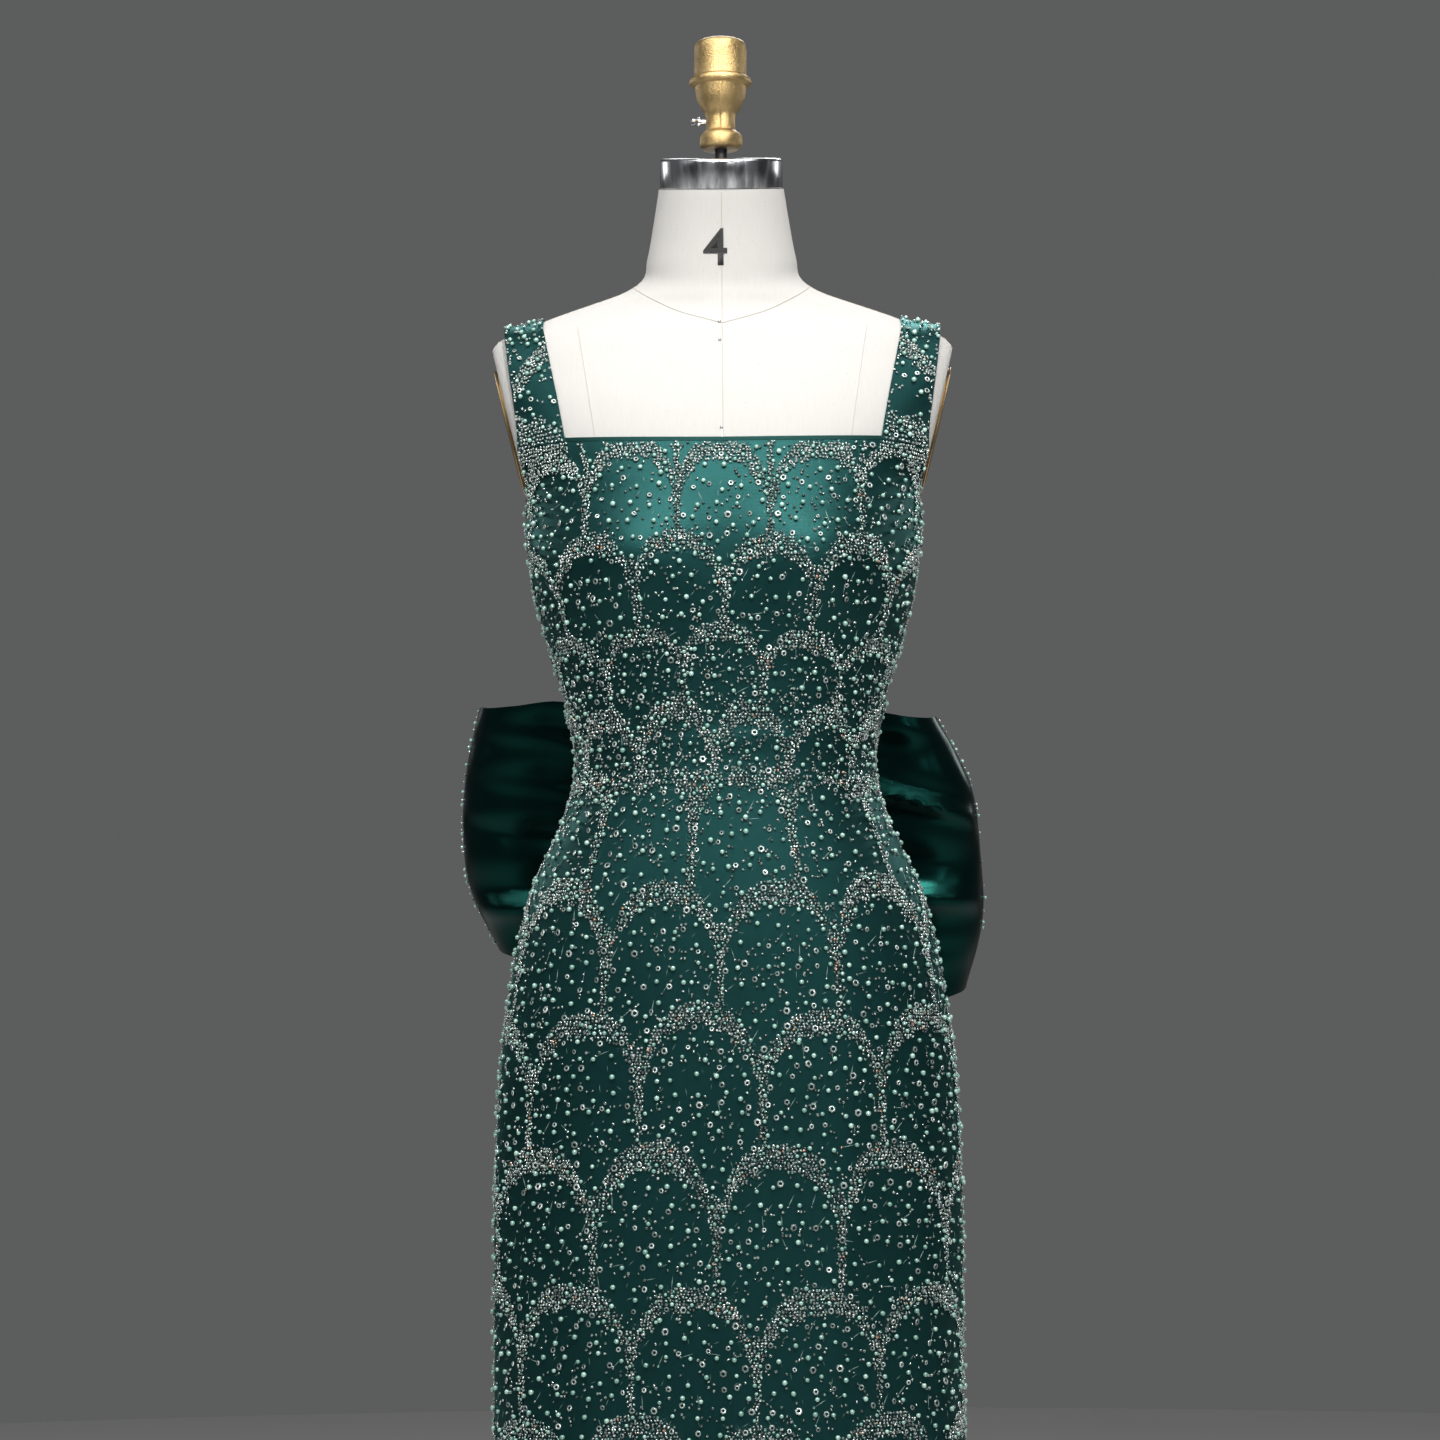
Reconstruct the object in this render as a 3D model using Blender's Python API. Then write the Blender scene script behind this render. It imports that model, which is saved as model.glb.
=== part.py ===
"""Evening gown on a limbless dress form, for Blender 4.5.

A fitted column gown with a straight square neckline, wide shoulder straps, a closed
concealed back zip and a large two-loop bow at the back waist. It is worn by a padded
dress form with a steel neck cap, a brass finial, brass armhole plates, a pole and a
round base.

Metres, +Z up. The front faces -Y. The origin is the centre of the base's underside.
"""

import math
from collections import namedtuple
from functools import lru_cache

import bmesh
import bpy
import numpy as np
from mathutils import Euler, Vector
from mathutils.bvhtree import BVHTree

# ---------------------------------------------------------------- driving dimensions
# Heights of the gown's edges and seams above the floor.
HEM_Z = 0.012
WAIST_Z = 1.045
UNDERARM_Z = 1.262
NECKLINE_Z = 1.3018
NECKLINE_DIP = 0.0047
SCOOP_POWER = 1.6
BACK_TOP_Z = 1.270
ZIP_END_Z = 0.905

# Heights of the dress form.
FORM_BOTTOM_Z = 0.720
NECK_FOOT_Z = 1.438
NECK_TOP_Z = 1.507

# Cloth walls and the gaps between pieces.
CLOTH = 0.0018
CLOTH_CLEAR = 0.0013
STRAP_CLEAR = 0.0006
SEAM = 0.0003

# The neckline and the straps, as distances from the centre line.
STRAP_BASE = (0.1165, 0.1525)
STRAP_TOP = (0.1370, 0.1680)
STRAP_TOP_Z = 1.397
STRAP_LIFT = 0.0065
STRAP_BACK = (0.1020, 0.1370)
BINDING_HEIGHT = 0.0030

# The concealed zip. Its slider is drawn from the side, as distances behind the gown and
# above the slider's foot, and its pull from behind, around the hinge in its top bar.
ZIP_WIDTH = 0.0016
SLIDER_WIDTH = 0.0036
SLIDER_FOOT_Z = 1.2589
Spot = namedtuple("Spot", "depth height")
SLIDER_OUTLINE = (
    Spot(0.0000, 0.0000),
    Spot(0.0040, 0.0000),
    Spot(0.0040, 0.0050),
    Spot(0.0022, 0.0086),
    Spot(0.0000, 0.0086),
    Spot(0.0000, 0.0040),
)
SLIDER_SLOT = (
    Spot(0.0012, 0.0012),
    Spot(0.0030, 0.0012),
    Spot(0.0030, 0.0029),
    Spot(0.0030, 0.0046),
    Spot(0.0012, 0.0046),
    Spot(0.0012, 0.0029),
)
PULL_HINGE = Spot(0.0021, 0.0026)
PULL_THICK = 0.0010
Edge = namedtuple("Edge", "half_width height")
PULL_OUTLINE = (
    Edge(0.0030, 0.0005),
    Edge(0.0032, -0.0044),
    Edge(0.0022, -0.0097),
    Edge(0.0022, -0.0245),
    Edge(0.0014, -0.0271),
)
PULL_EYE = (
    Edge(0.0022, -0.0005),
    Edge(0.0022, -0.0031),
    Edge(0.0022, -0.0044),
    Edge(0.0011, -0.0044),
    Edge(0.0004, -0.0044),
)

# The bow at the back waist. Its folds have one phase in front and another behind, and
# its loops open out past their mouth in the knot.
KNOT_Z = 1.012
KNOT_HALF_WIDTH = 0.030
KNOT_HALF_HEIGHT = 0.036
KNOT_DEPTH = 0.028
KNOT_ROUNDNESS = 4.2
KNOT_BULGE = 0.0025
KNOT_NARROWING = 0.10
BOW_CLOTH = 0.0024
BOW_FOLDS = 5
BOW_FOLD_DEPTH = 0.0055
BOW_FOLD_FADE = 0.75
BOW_FOLD_PHASES = (0.6, 2.2)
LOOP_MOUTH = 0.033

# The neck cap, the rod, the pole, and the pieces that are turned on a lathe.
CAP_RADIUS = 0.0472
CAP_HEIGHT = 0.0230
CAP_EDGE = 0.0028
CAP_FOOT = 0.0008
ROD_RADIUS = 0.0050
FINIAL_BOTTOM_Z = 1.5385
POLE_RADIUS = 0.0140
Ring = namedtuple("Ring", "radius height")
FINIAL = (
    Ring(0.0130, 0.0000),
    Ring(0.0160, 0.0022),
    Ring(0.0166, 0.0060),
    Ring(0.0160, 0.0110),
    Ring(0.0118, 0.0140),
    Ring(0.0112, 0.0170),
    Ring(0.0112, 0.0265),
    Ring(0.0150, 0.0320),
    Ring(0.0188, 0.0400),
    Ring(0.0200, 0.0490),
    Ring(0.0232, 0.0500),
    Ring(0.0240, 0.0525),
    Ring(0.0232, 0.0552),
    Ring(0.0202, 0.0566),
    Ring(0.0202, 0.0790),
    Ring(0.0190, 0.0835),
    Ring(0.0150, 0.0855),
)
BASE = (
    Ring(0.1380, 0.0000),
    Ring(0.1400, 0.0020),
    Ring(0.1400, 0.0080),
    Ring(0.1340, 0.0130),
    Ring(0.0340, 0.0190),
    Ring(0.0260, 0.0240),
    Ring(0.0240, 0.0450),
)

# The wing screw, from its tip against the finial's neck outwards, and its flat wings.
SCREW = (
    Ring(0.0020, 0.0003),
    Ring(0.0020, 0.0042),
    Ring(0.0034, 0.0046),
    Ring(0.0034, 0.0062),
)
SCREW_HEIGHT = 0.0215
FINIAL_NECK_RADIUS = 0.0112
WING_HALF_SPAN = 0.0062
WING_HALF_THICK = 0.0012
WING_FROM = 0.0058
WING_TO = 0.0116

# The flat armholes of the form: half width of the form at two heights, and their plates.
ARMHOLE_LOW = (1.262, 0.1470)
ARMHOLE_HIGH = (1.385, 0.1770)
ARMHOLE_Y = 0.0100
PLATE_Z = 1.3200
PLATE_HALF_HEIGHT = 0.0500
PLATE_HALF_DEPTH = 0.0330
PLATE_THICK = 0.0032
Dome = namedtuple("Dome", "size rise")
PLATE_DOME = (
    Dome(1.00, 0.00),
    Dome(1.00, 0.55),
    Dome(0.93, 0.80),
    Dome(0.80, 0.93),
    Dome(0.50, 1.00),
)

# The figure, as level sections. front and back are depths from the section's centre,
# roundness is the exponent of its oval, and lean tips a section forward.
Section = namedtuple("Section", "height half_width front back roundness centre lean")
FIGURE = (
    Section(0.012, 0.1970, 0.1480, 0.1660, 2.10, 0.000, 0),
    Section(0.150, 0.1900, 0.1380, 0.1560, 2.10, 0.000, 0),
    Section(0.300, 0.1810, 0.1240, 0.1430, 2.15, 0.000, 0),
    Section(0.450, 0.1740, 0.1120, 0.1320, 2.20, 0.000, 0),
    Section(0.600, 0.1710, 0.1050, 0.1260, 2.25, 0.000, 0),
    Section(0.767, 0.1707, 0.1030, 0.1250, 2.25, 0.000, 0),
    Section(0.837, 0.1672, 0.1040, 0.1250, 2.25, 0.000, 0),
    Section(0.883, 0.1615, 0.1040, 0.1230, 2.25, 0.000, 0),
    Section(0.929, 0.1535, 0.1030, 0.1180, 2.25, 0.000, 0),
    Section(0.975, 0.1400, 0.1000, 0.1080, 2.25, 0.000, 0),
    Section(0.998, 0.1290, 0.0975, 0.1010, 2.25, 0.000, 0),
    Section(1.021, 0.1190, 0.0950, 0.0945, 2.25, 0.000, 0),
    Section(1.048, 0.1112, 0.0930, 0.0890, 2.25, 0.000, 0),
    Section(1.070, 0.1098, 0.0930, 0.0870, 2.25, 0.000, 0),
    Section(1.091, 0.1128, 0.0940, 0.0875, 2.25, 0.000, 0),
    Section(1.114, 0.1180, 0.0965, 0.0890, 2.25, 0.000, 0),
    Section(1.137, 0.1245, 0.0995, 0.0915, 2.25, 0.000, 0),
    Section(1.160, 0.1315, 0.1030, 0.0945, 2.30, 0.000, 0),
    Section(1.183, 0.1380, 0.1065, 0.0975, 2.30, 0.000, 0),
    Section(1.206, 0.1425, 0.1085, 0.1000, 2.35, 0.000, 0),
    Section(1.229, 0.1455, 0.1085, 0.1015, 2.35, 0.000, 0),
    Section(1.252, 0.1462, 0.1065, 0.1025, 2.35, 0.001, 0),
    Section(1.276, 0.1488, 0.1030, 0.1020, 2.35, 0.002, 0),
    Section(1.300, 0.1640, 0.0975, 0.1010, 2.30, 0.004, 0),
    Section(1.330, 0.1745, 0.0890, 0.0970, 2.25, 0.007, 0),
    Section(1.355, 0.1800, 0.0800, 0.0900, 2.10, 0.010, 0),
    Section(1.372, 0.1805, 0.0735, 0.0840, 1.95, 0.012, 0),
    Section(1.385, 0.1780, 0.0690, 0.0790, 1.80, 0.014, 0),
    Section(1.394, 0.1690, 0.0660, 0.0750, 1.65, 0.015, 2),
    Section(1.402, 0.1515, 0.0630, 0.0710, 1.55, 0.016, 4),
    Section(1.412, 0.1270, 0.0595, 0.0665, 1.50, 0.017, 7),
    Section(1.421, 0.1010, 0.0570, 0.0625, 1.60, 0.017, 9),
    Section(1.430, 0.0755, 0.0550, 0.0590, 1.90, 0.016, 12),
    Section(1.438, 0.0630, 0.0530, 0.0565, 2.10, 0.015, 14),
    Section(1.455, 0.0575, 0.0500, 0.0530, 2.15, 0.011, 14),
    Section(1.480, 0.0525, 0.0475, 0.0500, 2.10, 0.005, 14),
    Section(1.507, 0.0480, 0.0465, 0.0465, 2.05, -0.002, 14),
)

# The bust that the bodice's cut shapes: two low mounds in front.
BUST_Z = 1.206
BUST_APART = 0.0750
BUST_RISE = 0.0150
BUST_WIDE = 0.0440
BUST_TALL = 0.0400

# Soft folds in the skirt, deepest at the hem.
HEM_FOLDS = 8
HEM_FOLD_DEPTH = 0.0055
HEM_FOLD_TOP_Z = 0.480

# One bow loop, from inside the knot, out along the front layer, round the fold and
# back: distance from the centre, distance behind the knot's front face, and how much
# of the loop's full half height it has there.
Station = namedtuple("Station", "x y spread")
LOOP = (
    Station(0.0040, 0.0050, 0.21),
    Station(0.0330, 0.0052, 0.23),
    Station(0.0600, 0.0120, 0.54),
    Station(0.1000, 0.0190, 0.92),
    Station(0.1400, 0.0200, 1.04),
    Station(0.1800, 0.0190, 1.01),
    Station(0.2040, 0.0280, 0.98),
    Station(0.2125, 0.0450, 0.97),
    Station(0.2020, 0.0630, 0.98),
    Station(0.1650, 0.0740, 1.02),
    Station(0.1200, 0.0720, 0.92),
    Station(0.0750, 0.0530, 0.62),
    Station(0.0360, 0.0232, 0.24),
    Station(0.0040, 0.0230, 0.21),
)
# Each loop: which side, height of its middle, half height, and how far the folded
# edge reaches from the centre, bottom to top.
Loop = namedtuple("Loop", "side middle_z half_height reach")
LOOPS = {
    "bow_loop_left": Loop(-1, 1.0150, 0.1012, (0.181, 0.203, 0.208, 0.204, 0.193)),
    "bow_loop_right": Loop(1, 0.9920, 0.1135, (0.191, 0.204, 0.202, 0.194, 0.167)),
}

# How finely the walls are divided.
FRONT_COLUMNS = 8
BACK_COLUMNS = 8
ARMHOLE_COLUMNS = 3
BODICE_STEP = 0.0241
STRAP_ROWS = 28
BINDING_COLUMNS = 17
LOOP_ROWS = 25
LOOP_COLUMNS = 16
SKIRT_HIDDEN_LEVELS = (HEM_Z, 0.100, 0.190, 0.280, 0.370, 0.470, 0.570, 0.650)
HIP_LEVELS = (FORM_BOTTOM_Z, 0.765, 0.802, 0.837, 0.871, ZIP_END_Z, 0.940, 0.975, 1.010)


# ---------------------------------------------------------------- the figure's surface
def smooth(xs, ys, x):
    """The value at x of a smooth curve through the points (xs, ys)."""
    xs = np.asarray(xs, float)
    ys = np.asarray(ys, float)
    slope = np.gradient(ys, xs)
    i = int(np.clip(np.searchsorted(xs, x) - 1, 0, len(xs) - 2))
    span = xs[i + 1] - xs[i]
    t = float(np.clip((x - xs[i]) / span, 0.0, 1.0))
    rise = 3 * t * t - 2 * t * t * t
    start = t * (1 - t) * (1 - t) * span
    end = -t * t * (1 - t) * span
    return (1 - rise) * ys[i] + rise * ys[i + 1] + start * slope[i] + end * slope[i + 1]


@lru_cache(maxsize=None)
def section_at(z):
    """The figure's section at a height, read smoothly from the table."""
    heights = [row.height for row in FIGURE]
    values = [smooth(heights, [getattr(row, name) for row in FIGURE], z) for name in Section._fields[1:]]
    return Section(z, *values)


@lru_cache(maxsize=None)
def quarter(z, back):
    """One quarter of a section: x, y and the share of its length, from the centre line to the side."""
    s = section_at(z)
    turn = np.linspace(0.0, math.pi / 2, 121)
    power = 2.0 / s.roundness
    x = s.half_width * np.sin(turn) ** power
    y = (s.back if back else -s.front) * np.maximum(np.cos(turn), 0.0) ** power
    run = np.concatenate([[0.0], np.cumsum(np.hypot(np.diff(x), np.diff(y)))])
    return x, y, run / run[-1], run[-1]


def armhole_plane(z):
    """Half width of the form's flat armholes at a height."""
    low, high = ARMHOLE_LOW, ARMHOLE_HIGH
    return low[1] + (z - low[0]) * (high[1] - low[1]) / (high[0] - low[0])


def figure_point(around, z):
    """A point on the figure. around is 0 at centre front, 1 and -1 at the sides, 2 at centre back."""
    z = round(z, 7)
    side = -1.0 if around < 0 else 1.0
    turn = abs(around)
    back = turn > 1.0
    share = 2.0 - turn if back else turn
    xs, ys, shares, _ = quarter(z, back)
    x = float(np.interp(share, shares, xs))
    y = float(np.interp(share, shares, ys))
    if ARMHOLE_LOW[0] < z < ARMHOLE_HIGH[0]:
        x = min(x, armhole_plane(z))
    if not back:
        rise = math.exp(-(((x - BUST_APART) / BUST_WIDE) ** 2) - ((z - BUST_Z) / BUST_TALL) ** 2)
        y -= BUST_RISE * rise * (1.0 - turn**6)
    if z < HEM_FOLD_TOP_Z:
        depth = HEM_FOLD_DEPTH * ((HEM_FOLD_TOP_Z - z) / (HEM_FOLD_TOP_Z - HEM_Z)) ** 1.5
        grow = 1.0 + depth * math.cos(HEM_FOLDS * math.pi * turn / 2) / math.hypot(x, y)
        x, y = x * grow, y * grow
    s = section_at(z)
    tip = math.radians(s.lean)
    return np.array([side * x, s.centre + y * math.cos(tip), z + y * math.sin(tip)])


def cloth_point(around, z, out):
    """A point that lies a distance out from the figure, along its normal."""
    step_a, step_z = 0.01, 0.002
    here = figure_point(around, z)
    run = figure_point(around + step_a, z) - figure_point(around - step_a, z)
    rise = figure_point(around, z + step_z) - figure_point(around, z - step_z)
    normal = np.cross(run, rise)
    normal /= np.linalg.norm(normal)
    return here + normal * out


def around_at(x, z, back=False):
    """Where round the figure its surface is a distance x from the centre line."""
    low, high = (1.0, 1.9999) if back else (0.0001, 1.0)
    for _ in range(40):
        middle = (low + high) / 2
        inside = figure_point(middle, z)[0] < x
        if inside != back:
            low = middle
        else:
            high = middle
    return (low + high) / 2


# ---------------------------------------------------------------- helpers for making objects
def principled(name, colour, roughness, metallic=0.0, sheen=0.0):
    """A plain material for one kind of sub-part."""
    material = bpy.data.materials.new(name)
    material.use_nodes = True
    shader = material.node_tree.nodes["Principled BSDF"]
    shader.inputs["Base Color"].default_value = (*colour, 1.0)
    shader.inputs["Roughness"].default_value = roughness
    shader.inputs["Metallic"].default_value = metallic
    shader.inputs["Sheen Weight"].default_value = sheen
    material.diffuse_color = (*colour, 1.0)
    return material


def finish(bm, name, material, sharp_degrees=35.0):
    """Turns a bmesh into a named object with its faces pointing out."""
    bmesh.ops.recalc_face_normals(bm, faces=bm.faces)
    mesh = bpy.data.meshes.new(name)
    bm.to_mesh(mesh)
    bm.free()
    mesh.materials.append(material)
    mesh.shade_smooth()
    mesh.set_sharp_from_angle(angle=math.radians(sharp_degrees))
    obj = bpy.data.objects.new(name, mesh)
    bpy.context.collection.objects.link(obj)
    return obj


def wall(name, inner, outer, material):
    """A closed wall between two grids of points, rows by columns, with a rim all round."""
    bm = bmesh.new()
    rows, columns = len(inner), len(inner[0])
    near = [[bm.verts.new(p) for p in row] for row in inner]
    far = [[bm.verts.new(p) for p in row] for row in outer]
    for grid in (near, far):
        for i in range(rows - 1):
            for j in range(columns - 1):
                corners = (grid[i][j], grid[i][j + 1], grid[i + 1][j + 1], grid[i + 1][j])
                bm.faces.new(corners if grid is near else corners[::-1])
    rim = [(0, j) for j in range(columns)]
    rim += [(i, columns - 1) for i in range(1, rows)]
    rim += [(rows - 1, j) for j in range(columns - 2, -1, -1)]
    rim += [(i, 0) for i in range(rows - 2, 0, -1)]
    for (i, j), (k, m) in zip(rim, rim[1:] + rim[:1]):
        bm.faces.new((near[i][j], far[i][j], far[k][m], near[k][m]))
    return finish(bm, name, material)


def loft(name, rings, material, sharp_degrees=35.0, triangles=False):
    """A closed solid through rings of points, with a flat end at each side."""
    bm = bmesh.new()
    loops = [[bm.verts.new(p) for p in ring] for ring in rings]
    for low, high in zip(loops, loops[1:]):
        for j in range(len(low)):
            k = (j + 1) % len(low)
            bm.faces.new((low[j], low[k], high[k], high[j]))
    bm.faces.new(loops[0][::-1])
    bm.faces.new(loops[-1])
    if triangles:
        bmesh.ops.triangulate(bm, faces=bm.faces)
    return finish(bm, name, material, sharp_degrees)


def turned(name, profile, segments, material, sharp_degrees=35.0):
    """A solid turned about its own Z axis. profile is (radius, height) from bottom to top."""
    turns = [2 * math.pi * k / segments for k in range(segments)]
    rings = [[(r * math.cos(t), r * math.sin(t), h) for t in turns] for r, h in profile]
    return loft(name, rings, material, sharp_degrees)


def framed(name, outer, hole, thickness, place, material):
    """A flat frame: an outline and a hole with as many points, given a thickness.

    place turns two numbers and a depth into a point.
    """
    bm = bmesh.new()
    count = len(outer)
    faces = []
    for depth in (-thickness / 2, thickness / 2):
        out_ring = [bm.verts.new(place(*p, depth)) for p in outer]
        in_ring = [bm.verts.new(place(*p, depth)) for p in hole]
        faces.append((out_ring, in_ring))
        for j in range(count):
            k = (j + 1) % count
            bm.faces.new((out_ring[j], out_ring[k], in_ring[k], in_ring[j]))
    for ring_a, ring_b in zip(*faces):
        for j in range(count):
            k = (j + 1) % count
            bm.faces.new((ring_a[j], ring_a[k], ring_b[k], ring_b[j]))
    return finish(bm, name, material)


# ---------------------------------------------------------------- columns and levels
def front_columns():
    """Places round the front half, with one at each outer corner of a strap."""
    corner = around_at(STRAP_BASE[1], NECKLINE_Z)
    half = np.concatenate([
        np.linspace(0.0, corner, FRONT_COLUMNS + 1),
        np.linspace(corner, 1.0, ARMHOLE_COLUMNS + 1)[1:],
    ])
    return np.concatenate([-half[:0:-1], half])


def back_columns():
    """Places round one back quarter, side to centre, with one at the strap's outer corner."""
    corner = around_at(STRAP_BACK[1], BACK_TOP_Z, back=True)
    return np.concatenate([
        np.linspace(1.0, corner, ARMHOLE_COLUMNS + 1),
        np.linspace(corner, 2.0, BACK_COLUMNS + 1)[1:],
    ])


def bodice_levels():
    """Heights of the bodice's rows that run level, from the waist to below the armholes."""
    return [WAIST_Z + BODICE_STEP * k for k in range(9)]


def form_levels():
    """Heights of the dress form's rows."""
    shoulder = np.linspace(bodice_levels()[-1], ARMHOLE_HIGH[0], 9)[1:]
    slope = np.linspace(ARMHOLE_HIGH[0], NECK_FOOT_Z, 10)[1:]
    neck = np.linspace(NECK_FOOT_Z, NECK_TOP_Z, 4)[1:]
    return [*HIP_LEVELS, *bodice_levels(), *shoulder, *slope, *neck]


def seamed(columns, z, first, last):
    """Columns with the first and last moved in by half a seam's gap, or by what is given."""
    moved = np.array(columns, float)
    _, _, _, length_a = quarter(round(z, 7), abs(moved[0]) > 1.0)
    _, _, _, length_b = quarter(round(z, 7), abs(moved[-1]) > 1.0)
    moved[0] += first / length_a
    moved[-1] -= last / length_b
    return moved


def panel(name, columns, rows, material, mirrored=False):
    """A cloth panel. rows are functions from a column's place to its height, with edge gaps."""
    inner, outer = [], []
    for height, first, last in rows:
        places = seamed(columns, height(columns[0]), first, last)
        if mirrored:
            places = -places
        inner.append([cloth_point(a, height(a), CLOTH_CLEAR) for a in places])
        outer.append([cloth_point(a, height(a), CLOTH_CLEAR + CLOTH) for a in places])
    return wall(name, inner, outer, material)


def level(z):
    """A row that runs level."""
    return lambda around: z


def between(low, edge, share):
    """A row between a level one and a shaped edge."""
    return lambda around: low + (edge(around) - low) * share


def shaped_edge(top, corner):
    """A bodice's top edge as far as the strap, then scooped down to the underarm.

    top turns a place round the figure into the height of the edge between the straps.
    """
    def height(around):
        reach = abs(1.0 - abs(around)) / abs(1.0 - corner)
        return UNDERARM_Z + (top(around) - UNDERARM_Z) * min(reach, 1.0) ** SCOOP_POWER
    return height


def neckline(around):
    """The height of the front neckline, which dips a little between the straps."""
    inner_corner = around_at(STRAP_BASE[0], NECKLINE_Z)
    return NECKLINE_Z - NECKLINE_DIP * (1.0 - min(1.0, abs(around) / inner_corner) ** 2)


# ---------------------------------------------------------------- the gown
def make_bodice(satin):
    """The front panel and the two back panels, waist to top edge."""
    low = bodice_levels()[-1]
    half = SEAM / 2
    under_binding = BINDING_HEIGHT + SEAM
    front_corner = around_at(STRAP_BASE[1], NECKLINE_Z)
    front_edge = shaped_edge(lambda around: neckline(around) - under_binding, front_corner)
    rows = [(level(z + (half if k == 0 else 0.0)), half, half) for k, z in enumerate(bodice_levels())]
    front_rows = rows + [(between(low, front_edge, share), half, half) for share in (0.5, 1.0)]
    panel("bodice_front", front_columns(), front_rows, satin)

    zip_side = ZIP_WIDTH / 2 + SEAM
    back_edge = shaped_edge(level(BACK_TOP_Z), around_at(STRAP_BACK[1], BACK_TOP_Z, back=True))
    rows = [(height, half, zip_side) for height, _, _ in rows]
    rows.append((between(low, back_edge, 1.0), half, zip_side))
    panel("bodice_back_right", back_columns(), rows, satin)
    panel("bodice_back_left", back_columns(), rows, satin, mirrored=True)


def make_skirt(satin):
    """The front skirt panel and the two back panels, waist seam to hem."""
    half = SEAM / 2
    heights = [*SKIRT_HIDDEN_LEVELS, *HIP_LEVELS, WAIST_Z - half]
    front_rows = [(level(z), half, half) for z in heights]
    panel("skirt_front", front_columns(), front_rows, satin)
    zip_side = ZIP_WIDTH / 2 + SEAM
    back_rows = [(level(z), half, zip_side if z >= ZIP_END_Z else half) for z in heights]
    panel("skirt_back_right", back_columns(), back_rows, satin)
    panel("skirt_back_left", back_columns(), back_rows, satin, mirrored=True)


def make_binding(satin):
    """The narrow binding along the straight neckline, strap to strap."""
    reach = around_at(STRAP_BASE[0] - SEAM, NECKLINE_Z)
    places = np.linspace(-reach, reach, BINDING_COLUMNS)
    inner, outer = (
        [[cloth_point(a, neckline(a) - drop, out) for a in places] for drop in (BINDING_HEIGHT, 0.0)]
        for out in (CLOTH_CLEAR, CLOTH_CLEAR + CLOTH)
    )
    wall("neck_binding", inner, outer, satin)


def lay_on_shoulder(tree, side, low_x, top_x, low_z, turn):
    """Where a strap's thread lies on the form, and the way out from it.

    The thread runs from low_x at its end to top_x over the shoulder. turn is 0 in front,
    a quarter circle at the top and a half circle behind.
    """
    way = Vector((0.0, -math.cos(turn), math.sin(turn)))
    far, step_in = 0.3, 0.15
    rise = math.sin(turn) ** 2
    for _ in range(6):
        x = low_x + (top_x - low_x) * min(1.0, rise)
        pivot = Vector((side * x, ARMHOLE_Y, low_z))
        hit, normal, _, _ = tree.ray_cast(pivot + way * far, -way)
        if hit is None:
            rise -= step_in
        else:
            rise = (hit.z - low_z) / (STRAP_TOP_Z - low_z)
    normal.x = 0.0
    normal.normalize()
    return hit, normal if normal.dot(way) > 0.0 else -normal


def lift_clear(tree, rows, ways, gap):
    """Lifts a grid of laid points until the flat facets between them clear the form."""
    shares = np.linspace(0.0, 1.0, 6)
    for _ in range(8):
        lift = np.zeros((len(rows), len(rows[0])))
        for i in range(len(rows) - 1):
            for j in range(len(rows[0]) - 1):
                a, b, c, d = rows[i][j], rows[i][j + 1], rows[i + 1][j + 1], rows[i + 1][j]
                short = 0.0
                for u in shares:
                    for v in shares:
                        spot = (a * (1 - u) + b * u) * (1 - v) + (d * (1 - u) + c * u) * v
                        near, out, _, _ = tree.find_nearest(spot)
                        short = max(short, gap - (spot - near).dot(out))
                lift[i:i + 2, j:j + 2] = np.maximum(lift[i:i + 2, j:j + 2], short)
        for i in range(1, len(rows) - 1):
            for j in range(len(rows[0])):
                rows[i][j] = rows[i][j] + ways[i][j] * lift[i, j]
    return rows


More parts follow.
